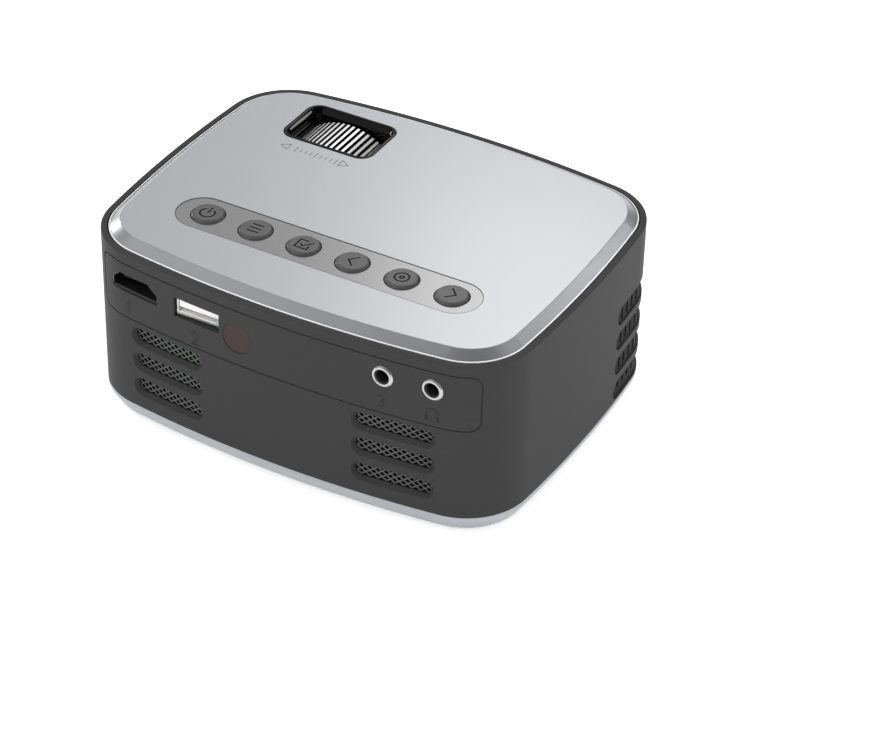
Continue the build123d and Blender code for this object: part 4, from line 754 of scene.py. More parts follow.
@dataclass
class Piece:
    """One new mesh under construction, in metres."""

    name: str

    def __post_init__(self) -> None:
        """Opens the mesh."""
        self.mesh = bmesh.new()

    def loop(self, points: Sequence[Vector]) -> list[bmesh.types.BMVert]:
        """Adds a row of points and returns their vertices."""
        return [self.mesh.verts.new(point) for point in points]

    def bridge(
        self, low: Sequence[bmesh.types.BMVert], high: Sequence[bmesh.types.BMVert]
    ) -> None:
        """Joins two closed rows with quads.

        Args:
            low: The first row.
            high: The second row, of the same length.
        """
        count = len(low)
        for place in range(count):
            after = (place + 1) % count
            self.mesh.faces.new((low[place], low[after], high[after], high[place]))

    def loft(self, rows: Sequence[Sequence[Vector]]) -> None:
        """Joins closed rows of points one after the other and closes both ends.

        Args:
            rows: The rows, all of the same length.
        """
        made = [self.loop(row) for row in rows]
        for low, high in zip(made, made[1:]):
            self.bridge(low, high)
        self.mesh.faces.new(made[0][::-1])
        self.mesh.faces.new(made[-1])

    def ring_loft(self, rows: Sequence[Sequence[Vector]]) -> None:
        """Joins closed rows into a ring whose last row meets its first."""
        made = [self.loop(row) for row in rows]
        for place, low in enumerate(made):
            self.bridge(low, made[(place + 1) % len(made)])

    def lathe(
        self,
        origin: Vector,
        axis: Vector,
        profile: Sequence[Flat],
        steps: int,
        ring: bool = False,
    ) -> None:
        """Turns a profile round an axis.

        Args:
            origin: A point on the axis.
            axis: The axis.
            profile: Its points as (radius, distance along the axis).
            steps: How many points each circle has.
            ring: Whether the last point meets the first, so that the middle stays open.
        """
        across = axis.orthogonal().normalized()
        other = axis.cross(across)
        rows = [
            circle_row(origin + axis * along, across, other, radius, steps)
            for radius, along in profile
        ]
        if ring:
            self.ring_loft(rows)
        else:
            self.loft(rows)

    def slab(self, x: Flat, y: Flat, z: Flat, bevel: float) -> None:
        """Adds a bar along Y whose two ends are bevelled.

        Args:
            x: Its low and high x.
            y: Its low and high y.
            z: Its low and high z.
            bevel: The width of the bevels.
        """
        stations = ((y[0], bevel), (y[0] + bevel, 0.0), (y[1] - bevel, 0.0), (y[1], bevel))
        rows = []
        for along, inset in stations:
            low_x, high_x = x[0] + inset, x[1] - inset
            low_z, high_z = z[0] + inset, z[1] - inset
            corners = ((low_x, low_z), (high_x, low_z), (high_x, high_z), (low_x, high_z))
            rows.append([Vector((across, along, up)) for across, up in corners])
        self.loft(rows)

    def ribbon(
        self,
        path: Sequence[Flat],
        width: float,
        place: Placer,
        low: float,
        high: float,
        closed: bool = False,
    ) -> None:
        """Adds a flat stroke of even width along a path, as a thin solid.

        Args:
            path: The stroke's middle line.
            width: Its width.
            place: Turns (u, v, height) into a point of the frame.
            low: The height of its underside.
            high: The height of its top.
            closed: Whether the stroke closes on itself.
        """
        left, right = offset_path(path, width / 2, closed)
        if closed:
            sides = ((left, low), (left, high), (right, high), (right, low))
            self.ring_loft([[place(*spot, height) for spot in side] for side, height in sides])
            return
        outline = left + right[::-1]
        self.loft([[place(*spot, height) for spot in outline] for height in (low, high)])

    def finish(
        self, body: str, slot: Slot, material: bpy.types.Material, sharp: float = 35.0
    ) -> bpy.types.Object:
        """Closes the mesh and sets it to ride.

        Args:
            body: The body that it rides on.
            slot: The record's slot for it; not used.
            material: Its material.
            sharp: Edges that bend more than this many degrees stay sharp.

        Returns:
            The new object.
        """
        bmesh.ops.recalc_face_normals(self.mesh, faces=self.mesh.faces)
        data = bpy.data.meshes.new(self.name)
        self.mesh.to_mesh(data)
        self.mesh.free()
        shade(data, sharp)
        made = bpy.data.objects.new(self.name, data)
        bpy.context.scene.collection.objects.link(made)
        made.data.materials.append(material)
        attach(made, body)
        LOG.info("piece %s on %s", self.name, body)
        return made


def shade(data: bpy.types.Mesh, sharp: float) -> None:
    """Smooths a mesh, but keeps edges that bend more than this many degrees sharp."""
    data.shade_smooth()
    data.set_sharp_from_angle(angle=math.radians(sharp))


def offset_path(
    path: Sequence[Flat], reach: float, closed: bool
) -> tuple[list[Flat], list[Flat]]:
    """Finds the two sides of a stroke, with mitred corners.

    Args:
        path: The middle line.
        reach: How far each side lies from it.
        closed: Whether it closes on itself.

    Returns:
        The left side and the right side.
    """
    count = len(path)
    left, right = [], []
    for place, (u, v) in enumerate(path):
        before = path[(place - 1) % count] if closed or place > 0 else None
        after = path[(place + 1) % count] if closed or place < count - 1 else None
        normals = []
        for start, end in ((before, (u, v)), ((u, v), after)):
            if start is not None and end is not None:
                along = Vector((end[0] - start[0], end[1] - start[1])).normalized()
                normals.append(Vector((-along.y, along.x)))
        middle = sum(normals, Vector((0.0, 0.0))).normalized()
        mitre = reach / max(middle.dot(normals[0]), BLUNTEST_MITRE)
        left.append((u + middle.x * mitre, v + middle.y * mitre))
        right.append((u - middle.x * mitre, v - middle.y * mitre))
    return left, right


def arc(centre: Flat, radius: float, start: float, end: float, steps: int) -> list[Flat]:
    """Gives points on an arc, with angles in degrees.

    Args:
        centre: The arc's centre.
        radius: Its radius.
        start: Its first angle.
        end: Its last angle.
        steps: How many parts it has.

    Returns:
        The points.
    """
    angles = [math.radians(start + (end - start) * step / steps) for step in range(steps + 1)]
    return [
        (centre[0] + radius * math.cos(angle), centre[1] + radius * math.sin(angle))
        for angle in angles
    ]


def circle_row(
    centre: Vector, axis_u: Vector, axis_v: Vector, radius: float, steps: int
) -> list[Vector]:
    """Gives a closed row of points on a circle.

    Args:
        centre: The circle's centre.
        axis_u: Its first direction.
        axis_v: Its second direction.
        radius: Its radius.
        steps: How many points it has.

    Returns:
        The points.
    """
    turns = [2 * math.pi * step / steps for step in range(steps)]
    return [
        centre + axis_u * (radius * math.cos(turn)) + axis_v * (radius * math.sin(turn))
        for turn in turns
    ]


def cut(target: bpy.types.Object, cutter: bpy.types.Object) -> None:
    """Takes one mesh out of another and removes the cutter.

    Args:
        target: The mesh that is cut.
        cutter: The mesh that cuts.
    """
    change = target.modifiers.new("cut", "BOOLEAN")
    change.operation = "DIFFERENCE"
    change.solver = "EXACT"
    change.use_self = True
    change.object = cutter
    bpy.context.view_layer.update()
    evaluated = target.evaluated_get(bpy.context.evaluated_depsgraph_get())
    result = bpy.data.meshes.new_from_object(evaluated)
    target.modifiers.clear()
    target.data = result
    bpy.data.objects.remove(cutter)


# ---------------------------------------------------------------- case
@dataclass(frozen=True)
class CasePlan:
    """The case's bowed outline, in metres.

    Attributes:
        half_width: Half its width along X.
        half_depth: Half its depth along Y.
        long_bow: How far the long sides bow.
        short_bow: How far the short sides bow.
        corner: The corners' radius.
        height: The lid's top.
    """

    half_width: float = 0.064
    half_depth: float = 0.05075
    long_bow: float = 0.00565
    short_bow: float = 0.0027
    corner: float = 0.0186
    height: float = 0.0549

    def rear_y(self, x: float, inset: float = 0.0) -> float:
        """Gives the rear wall's y at x, drawn in by an inset."""
        half = self.half_width - self.short_bow
        radius = (half**2 + self.long_bow**2) / (2 * self.long_bow)
        return self.half_depth - radius + math.sqrt((radius - inset) ** 2 - x**2)

    def outline(self, inset: float, steps: int = 24) -> list[Flat]:
        """Gives the case's whole outline, drawn in by an inset.

        Args:
            inset: How far it is drawn in.
            steps: How many parts each of its arcs has.

        Returns:
            Its points, once round.
        """
        half_x, half_y = self.half_width - self.short_bow, self.half_depth - self.long_bow
        long_radius = (half_x**2 + self.long_bow**2) / (2 * self.long_bow)
        short_radius = (half_y**2 + self.short_bow**2) / (2 * self.short_bow)
        long_y, short_x = self.half_depth - long_radius, self.half_width - short_radius
        to_long, to_short = long_radius - self.corner, short_radius - self.corner
        apart = math.hypot(short_x, long_y)
        along = (to_long**2 - to_short**2 + apart**2) / (2 * apart)
        across = math.sqrt(to_long**2 - along**2)
        x = (along * short_x - across * long_y) / apart
        y = long_y - (along * long_y + across * short_x) / apart
        low = math.degrees(math.atan2(y, x - short_x))
        high = math.degrees(math.atan2(y - long_y, x))
        quarter = arc((short_x, 0.0), short_radius - inset, 0, low, steps)
        quarter += arc((x, y), self.corner - inset, low, high, steps)[1:]
        quarter += arc((0.0, long_y), long_radius - inset, high, 90, steps)[1:]
        upper = quarter + [(-u, v) for u, v in quarter[-2::-1]]
        return upper + [(-u, -v) for u, v in upper[1:-1]]

    def on_lid(self, u: float, v: float, height: float) -> Vector:
        """Places a mark on the lid, read from behind: u runs to -X and v to -Y."""
        return Vector((-u, -v, self.height + height))

    def on_rear(self, u: float, v: float, height: float) -> Vector:
        """Places a mark on the rear wall: u runs to -X and v up."""
        return Vector((-u, self.rear_y(-u) + height, v))


@dataclass
class Keys:
    """The six keys with their cut signs.

    Attributes:
        first_x: The first key's x.
        pitch: The distance from key to key.
        y: The keys' y.
        radius: The cap's radius.
        top: The cap's top.
        bevel: The width of its bevel.
        stem: The stem's radius.
        flange_reach: How far the flange stands out beyond the cap.
        flange_drop: How far the flange lies below the lid's top.
        flange_thick: Its thickness.
        cut_depth: How deep the signs are cut.
        cut_reach: The share of the radius within which they lie.
        cut_slack: How far the painted cuts may miss their depth, as a share of it.
        line: The width of a sign's lines.
        clear: How far the cutter stands out above the cap.
        steps: How many points the cap's circles have.
    """

    plan: CasePlan
    effects: Effects
    first_x: float = 0.0369
    pitch: float = 0.01455
    y: float = 0.0231
    radius: float = 0.0045
    top: float = 0.05555
    bevel: float = 0.00055
    stem: float = 0.0017
    flange_reach: float = 0.0008
    flange_drop: float = 0.0021
    flange_thick: float = 0.0008
    cut_depth: float = 0.00028
    cut_reach: float = 0.85
    cut_slack: float = 0.2
    line: float = 0.00046
    clear: float = 0.001
    steps: int = 96

    def build(self) -> None:
        """Builds every cap and cuts its sign."""
        for place, sign in enumerate(KeySign):
            self._cap(sign, self.first_x - self.pitch * place)

    def _cap(self, sign: KeySign, x: float) -> None:
        """Builds one cap.

        Args:
            sign: The sign that it carries.
            x: Where it is.
        """
        node = f"button_{sign.value}"
        low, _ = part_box(node)
        cap = Piece(f"cap_{sign.value}")
        cap.loft([
            circle_row(Vector((x, self.y, z)), AXIS_X, AXIS_Y, radius, self.steps)
            for radius, z in self._profile(low.z)
        ])
        made = cap.finish(node, Slot.KEY, KEY.material(self.effects))
        cutter = Piece(f"cutter_{sign.value}")
        place = partial(self._on_key, x)
        for path, closed in self._strokes(sign):
            cutter.ribbon(path, self.line, place, -self.cut_depth, self.clear, closed)
        cut(made, cutter.finish(node, Slot.KEY, KEY_CUT.material(self.effects)))
        self._darken_cuts(made, x)
        shade(made.data, 30)
        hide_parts(node)

    def _on_key(self, x: float, u: float, v: float, height: float) -> Vector:
        """Places a point on the cap at x, read from behind: u runs to -X and v to -Y."""
        return Vector((x - u, self.y - v, self.top + height))

    def _darken_cuts(self, made: bpy.types.Object, x: float) -> None:
        """Gives the walls and floors of the cuts a dark colour, partly paint in the cuts and partly
        painted shade.

        Args:
            made: The cut cap.
            x: Where it is.
        """
        made.data.materials.append(KEY_CUT.material(self.effects))
        deepest = self.top - self.cut_depth * (1 + self.cut_slack)
        floor = self.top - self.cut_depth * (1 - self.cut_slack)
        for face in made.data.polygons:
            away = math.hypot(face.center.x - x, face.center.y - self.y)
            near = away < self.radius * self.cut_reach and face.center.z > deepest
            if near and (face.normal.z < 0.5 or face.center.z < floor):
                face.material_index = 1

    def _profile(self, low: float) -> list[Flat]:
        """Gives the cap's profile from its stem to its top as (radius, z)."""
        flange = self.radius + self.flange_reach
        flange_top = self.plan.height - self.flange_drop
        flange_low = flange_top - self.flange_thick
        shoulder = self.top - self.bevel
        crown = self.radius - self.bevel
        return [
            (self.stem, low),
            (self.stem, flange_low),
            (flange, flange_low),
            (flange, flange_top),
            (self.radius, flange_top),
            (self.radius, shoulder - 0.0001),
            (self.radius - 0.00004, shoulder),
            (crown + 0.00006, self.top - 0.00005),
            (crown - 0.00008, self.top),
            (self.radius * 0.8, self.top),
            (self.radius * 0.5, self.top),
        ]

    @staticmethod
    def _strokes(sign: KeySign) -> list[tuple[list[Flat], bool]]:
        """Gives a sign's strokes.

        Args:
            sign: The sign.

        Returns:
            Each stroke's middle line and whether it closes.
        """
        box = [(0.7, 1.8), (-1.8, 1.8), (-1.8, -1.8), (1.8, -1.8), (1.8, -0.2)]
        tick = [(-0.9, 0.1), (-0.1, -0.8), (2.3, 1.7)]
        strokes: dict[KeySign, list[tuple[list[Flat], bool]]] = {
            KeySign.POWER: [
                (arc((0, -0.3), 2.0, 125, 415, 24), False),
                ([(0, -0.2), (0, 2.5)], False),
            ],
            KeySign.MENU: [([(-1.75, v), (1.75, v)], False) for v in (-1.6, 0.0, 1.6)],
            KeySign.SOURCE: [(box, False), (tick, False)],
            KeySign.LEFT: [([(1.0, 2.2), (-1.1, 0.0), (1.0, -2.2)], False)],
            KeySign.OK: [
                (arc((0, 0), 1.9, 0, 345, 23), True),
                (arc((0, 0), 0.55, 0, 330, 11), True),
            ],
            KeySign.RIGHT: [([(-1.0, 2.2), (1.1, 0.0), (-1.0, -2.2)], False)],
        }
        return [([(u * MM, v * MM) for u, v in path], closed) for path, closed in strokes[sign]]


@dataclass
class Legends:
    """The generic marks on the lid and the rear wall: arrows, a tick scale and plain numbers.

    Attributes:
        proud: How far a mark stands out.
        sunk: How far it reaches in.
        line: The width of the lid's lines.
        arrows: The u of each arrow's tip and base.
        arrow_vs: The v of an arrow's low corner, tip and high corner.
        scale: The scale's middle as u and v.
        ticks: How many ticks it has.
        tick_pitch: The distance from tick to tick.
        long_tick: Half the length of every fourth tick.
        short_tick: Half the length of the others.
        wall_line: The width of the wall's lines.
        numbers: The x, z and height of each number.
        phones: The middle of the headphone sign's band as u and v.
        phones_reach: The band's radius.
        cup: How far below the band's ends its cups begin and end.
        cup_lines: The width of a cup and of the band, as shares of the wall's lines.
    """

    plan: CasePlan
    effects: Effects
    proud: float = 0.00002
    sunk: float = 0.0001
    line: float = 0.00022
    arrows: tuple[Flat, ...] = ((-0.0388, -0.03643), (-0.01781, -0.02033))
    arrow_vs: Spot = (0.01475, 0.0162, 0.01765)
    scale: Flat = (-0.02785, 0.0161)
    ticks: int = 9
    tick_pitch: float = 0.00155
    long_tick: float = 0.00135
    short_tick: float = 0.0008
    wall_line: float = 0.0004
    numbers: tuple[Spot, ...] = (
        (0.0460, 0.0365, 0.0038),
        (0.0242, 0.0362, 0.0038),
        (-0.0306, 0.0368, 0.0034),
    )
    phones: Flat = (0.04435, 0.0372)
    phones_reach: float = 0.0015
    cup: Flat = (0.0006, 0.0024)
    cup_lines: Flat = (2.0, 0.8)

    def build(self) -> None:
        """Builds every mark."""
        self._lid()
        self._wall()

    def _stroke(
        self,
        marks: Piece,
        path: Sequence[Flat],
        width: float,
        place: Placer,
        closed: bool = False,
    ) -> None:
        """Adds one stroke of a mark.

        Args:
            marks: The piece under construction.
            path: The stroke's middle line.
            width: Its width.
            place: Where the mark lies.
            closed: Whether the stroke closes on itself.
        """
        marks.ribbon(path, width, place, -self.sunk, self.proud, closed)

    def _lid(self) -> None:
        """Builds the two arrows and the tick scale between them."""
        marks = Piece("focus_scale")
        low, middle, high = self.arrow_vs
        for tip, base in self.arrows:
            arrow = [(base, high), (base, low), (tip, middle)]
            self._stroke(marks, arrow, self.line, self.plan.on_lid, True)
        for step in range(self.ticks):
            u = self.scale[0] + (step - self.ticks // 2) * self.tick_pitch
            reach = self.long_tick if step % 4 == 0 else self.short_tick
            tick = [(u, self.scale[1] - reach), (u, self.scale[1] + reach)]
            self._stroke(marks, tick, self.line, self.plan.on_lid)
        marks.finish("case", Slot.COVER, MARK.material(self.effects))

    def _wall(self) -> None:
        """Builds the plain numbers below the sockets and the headphone sign as dark flush marks,
        painted shade standing for debossed lettering.
        """
        marks = Piece("socket_numbers")
        for number, (x, z, height) in enumerate(self.numbers, start=1):
            for path in self._digit(number, height):
                spots = [(u - x, v + z) for u, v in path]
                self._stroke(marks, spots, self.wall_line, self.plan.on_rear)
        middle, shoulder = self.phones
        cup_width, band_width = (share * self.wall_line for share in self.cup_lines)
        band = arc(self.phones, self.phones_reach, 180, 0, 14)
        self._stroke(marks, band, band_width, self.plan.on_rear)
        for side in (-1, 1):
            u = middle + side * self.phones_reach
            cup = [(u, shoulder - drop) for drop in self.cup]
            self._stroke(marks, cup, cup_width, self.plan.on_rear)
            self._stroke(marks, [(u, shoulder), cup[0]], band_width, self.plan.on_rear)
        marks.finish("case", Slot.SHELL, WALL_MARK_SHADE.material(self.effects))

    @staticmethod
    def _digit(number: int, height: float) -> list[list[Flat]]:
        """Gives a plain digit's strokes about its middle.

        Args:
            number: The digit, from 1 to 3.
            height: Its height.

        Returns:
            The strokes.
        """
        half = height / 2
        wide = height * 0.3
        bowl = half * 0.5
        curl = arc((0, half - wide), wide, 170, -40, 12)
        shapes = {
            1: [[(-wide * 0.6, bowl), (0.0, half), (0.0, -half)]],
            2: [[*curl, (-wide, -half), (wide, -half)]],
            3: [arc((0, bowl), bowl, 160, -90, 12), arc((0, -bowl), bowl, 90, -160, 12)],
        }
        return shapes[number]


# ---------------------------------------------------------------- rear face
@dataclass
class RearMesh:
    """The raised strands on the mesh behind the rear slots.

    Attributes:
        slot_x: The slots' middle, each side.
        slot_zs: Their heights.
        length: Their length.
        height: Their height.
        pitch_x: The mesh's pitch along X.
        pitch_z: Its pitch up.
        depth: How far behind the wall's face the sheet lies.
        proud: How far a strand's middle stands out of it.
        margin: The part of a slot's height that the strands leave free.
        thick: A strand's half width.
        flatness: Its thickness as a share of its width.
    """

    plan: CasePlan
    effects: Effects
    slot_x: float = 0.0339
    slot_zs: tuple[float, ...] = (0.0126, 0.0206, 0.0286)
    length: float = 0.0236
    height: float = 0.006
    pitch_x: float = 0.00235
    pitch_z: float = 0.0018
    depth: float = 0.00175
    proud: float = 0.00002
    margin: float = 0.001
    thick: float = 0.00031
    flatness: float = 0.7

    def build(self) -> None:
        """Builds the strands on both sides."""
        for name, x in (("left", self.slot_x), ("right", -self.slot_x)):
            strands = Piece(f"mesh_strands_{name}")
            for z in self.slot_zs:
                self._strip(strands, x, z)
            strands.finish("case", Slot.MESH, MESH.material(self.effects), 60.0)

    def _strip(self, strands: Piece, x: float, z: float) -> None:
        """Adds the zigzag strands of one slot.

        Args:
            strands: The piece under construction.
            x: The slot's middle.
            z: Its height.
        """
        columns = int((self.length - self.pitch_x / 2) / self.pitch_x)
        rows = int((self.height - self.margin) / self.pitch_z)
        start = -(columns - 1) / 2 - 0.5
        for row in range(1 - rows, rows, 2):
            line = z + (row / 2) * self.pitch_z
            spots = []
            for step in range(2 * columns + 1):
                u = x + (start + step / 2) * self.pitch_x
                rise = self.pitch_z / 2 if step % 2 else 0.0
                spots.append((u, line, rise))
            self._zigzag(strands, spots, 1)
            self._zigzag(strands, spots, -1)

    def _zigzag(self, strands: Piece, spots: Sequence[Spot], side: int) -> None:
        """Adds one zigzag strand.

        Args:
            strands: The piece under construction.
            spots: Its corners as x, middle z and rise.
            side: Whether it rises or falls first.
        """
        flat = Vector((0, self.thick * self.flatness, 0))
        tall = Vector((0, 0, self.thick))
        rows = []
        for x, line, rise in spots:
            y = self.plan.rear_y(x, self.depth) + self.proud
            rows.append(circle_row(Vector((x, y, line + side * rise)), flat, tall, 1.0, 6))
        strands.loft(rows)


# ---------------------------------------------------------------- focus window
@dataclass
class FocusWindow:
    """The glossy rim of the focus window, with its funnel and the walls beside the wheel.

    Attributes:
        centre: The window's middle.
        length: Its length along X.
        width: Its width along Y.
        corner: Its corner radius.
        top: The rim's top.
        seat: The underside of its lip.
        low: The lower end of its walls.
        lip: How far its lip reaches over the walls.
        mouth: Where the funnel begins, from the outer edge.
        throat: Where the funnel ends.
        wheel_x: The wheel's axis.
        wheel_z: The axis' height.
        rib_room: The radius kept free round the ribs.
        collar_room: The radius kept free round the collar.
        rib_start: Where the ribs' room begins.
        room_ends: The low and high y of both rooms together.
    """

    effects: Effects
    centre: Flat = (0.0286, -0.03005)
    length: float = 0.0279
    width: float = 0.0191
    corner: float = 0.004
    top: float = 0.05505
    seat: float = 0.0539
    low: float = 0.04765
    lip: float = 0.0005
    mouth: float = 0.0011
    throat: float = 0.00235
    wheel_x: float = 0.0293
    wheel_z: float = 0.0363
    rib_room: float = 0.01775
    collar_room: float = 0.01665
    rib_start: float = -0.0364
    room_ends: Flat = (-0.05, -0.01)

    def build(self) -> None:
        """Builds the rim and frees the wheel's room."""
        rim = Piece("window_rim")
        rim.ring_loft([self._outline(inset, z) for inset, z in self._profile()])
        made = rim.finish("case", Slot.GLOSS, GLOSS.material(self.effects))
        self._free(made, "rib_room", self.rib_room, (self.rib_start, self.room_ends[1]))
        self._free(made, "collar_room", self.collar_room, (self.room_ends[0], self.rib_start))
        shade(made.data, 32)
        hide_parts("focus_bezel")

    def _free(self, made: bpy.types.Object, name: str, radius: float, y: Flat) -> None:
        """Cuts a round room about the wheel's axis out of the rim.

        Args:
            made: The rim.
            name: The room's name.
            radius: Its radius.
            y: Its low and high y.
        """
        room = Piece(name)
        origin = Vector((self.wheel_x, 0.0, self.wheel_z))
        room.lathe(origin, AXIS_Y, [(radius, y[0]), (radius, y[1])], 160)
        cut(made, room.finish("case", Slot.GLOSS, GLOSS.material(self.effects)))

    def _profile(self) -> list[Flat]:
        """Gives the rim's section as (inset, z), from outside over the top and back below."""
        deep = self.top - (self.throat - self.mouth)
        return [
            (0.0, self.seat),
            (0.0, self.top - 0.00022),
            (0.00007, self.top - 0.00007),
            (0.00022, self.top),
            (self.mouth - 0.00035, self.top),
            (self.mouth - 0.00012, self.top - 0.00005),
            (self.mouth + 0.00006, self.top - 0.0002),
            (self.throat - 0.00006, deep - 0.00002),
            (self.throat, deep - 0.00014),
            (self.throat, self.low),
            (self.lip, self.low),
            (self.lip, self.seat),
        ]

    def _outline(self, inset: float, z: float) -> list[Vector]:
        """Gives the window's outline, drawn in by an inset, at a height."""
        radius = max(self.corner - inset, 0.0004)
        reach_x = self.length / 2 - inset - radius
        reach_y = self.width / 2 - inset - radius
        points = []
        for turn, (side_x, side_y) in enumerate(((1, 1), (-1, 1), (-1, -1), (1, -1))):
            middle = (self.centre[0] + side_x * reach_x, self.centre[1] + side_y * reach_y)
            points += arc(middle, radius, 90 * turn, 90 * turn + 90, 12)
        return [Vector((x, y, z)) for x, y in points]


@dataclass
class StripGap:
    """A thin black bead between the inlaid strip and the lid: painted shade standing for the
    shadowed gap.

    Attributes:
        middle_x: The strip's middle.
        y: The strip's y.
        length: The joint's length.
        width: Its width.
        line: How wide the joint is.
        sunk: How far it reaches in.
        proud: How far it stands out.
    """

    plan: CasePlan
    effects: Effects
    middle_x: float = 0.00095
    y: float = 0.0231
    length: float = 0.0896
    width: float = 0.0145
    line: float = 0.00014
    sunk: float = 0.0006
    proud: float = 0.000005

    def build(self) -> None:
        """Builds the painted shade of the gap as a thin closed black bead."""
        bead = Piece("strip_gap_shade")
        radius = self.width / 2
        reach = self.length / 2 - radius
        path = arc((reach, 0.0), radius, -90, 90, 32) + arc((-reach, 0.0), radius, 90, 270, 32)
        bead.ribbon(path, self.line, self._on_strip, -self.sunk, self.proud, True)
        bead.finish("case", Slot.BLACK, BLACK.material(self.effects))

    def _on_strip(self, u: float, v: float, height: float) -> Vector:
        """Places a point about the strip's middle, at a height above the lid's top."""
        return Vector((self.middle_x + u, self.y + v, self.plan.height + height))


@dataclass
class LidEdge:
    """The rounded edge at the foot of the lid's bevel: a real polished bead whose near-white colour
    is partly a painted highlight.

    Attributes:
        inset: How far the edge lies inside the case's outline.
        drop: How far it lies below the lid's top.
        radius: Its rounding.
        turns: Its section's first and last angle and their step, in degrees.
    """

    plan: CasePlan
    effects: Effects
    inset: float = 0.0023
    drop: float = 0.00209
    radius: float = 0.00022
    turns: tuple[int, int, int] = (-60, 140, 20)

    def build(self) -> None:
        """Builds the edge as a slim rounded bead."""
        bead = Piece("lid_edge")
        rows = []
        for angle in range(*self.turns):
            turn = math.radians(angle)
            inset = self.inset - self.radius * math.cos(turn)
            z = self.plan.height - self.drop + self.radius * math.sin(turn)
            rows.append([Vector((x, y, z)) for x, y in self.plan.outline(inset)])
        bead.ring_loft(rows)
        bead.finish("case", Slot.COVER, LID_EDGE_HIGHLIGHT.material(self.effects))


@dataclass
class EyeRing:
    """A thin black ring round the infrared window: painted shade standing for the shadowed gap.

    Attributes:
        x: The window's x.
        z: Its height.
        radius: Its radius.
        line: The joint's width.
        sunk: How far it reaches in.
        proud: How far it stands out.
    """

    plan: CasePlan
    effects: Effects
    x: float = 0.011
    z: float = 0.0412
    radius: float = 0.00441
    line: float = 0.00016
    sunk: float = 0.0005
    proud: float = 0.00001

    def build(self) -> None:
        """Builds the painted shade of the gap as a thin closed black bead on the wall."""
        joint = Piece("eye_gap_shade")
        path = arc((-self.x, self.z), self.radius, 0, 354, 59)
        joint.ribbon(path, self.line, self.plan.on_rear, -self.sunk, self.proud, True)
        joint.finish("case", Slot.BLACK, BLACK.material(self.effects))


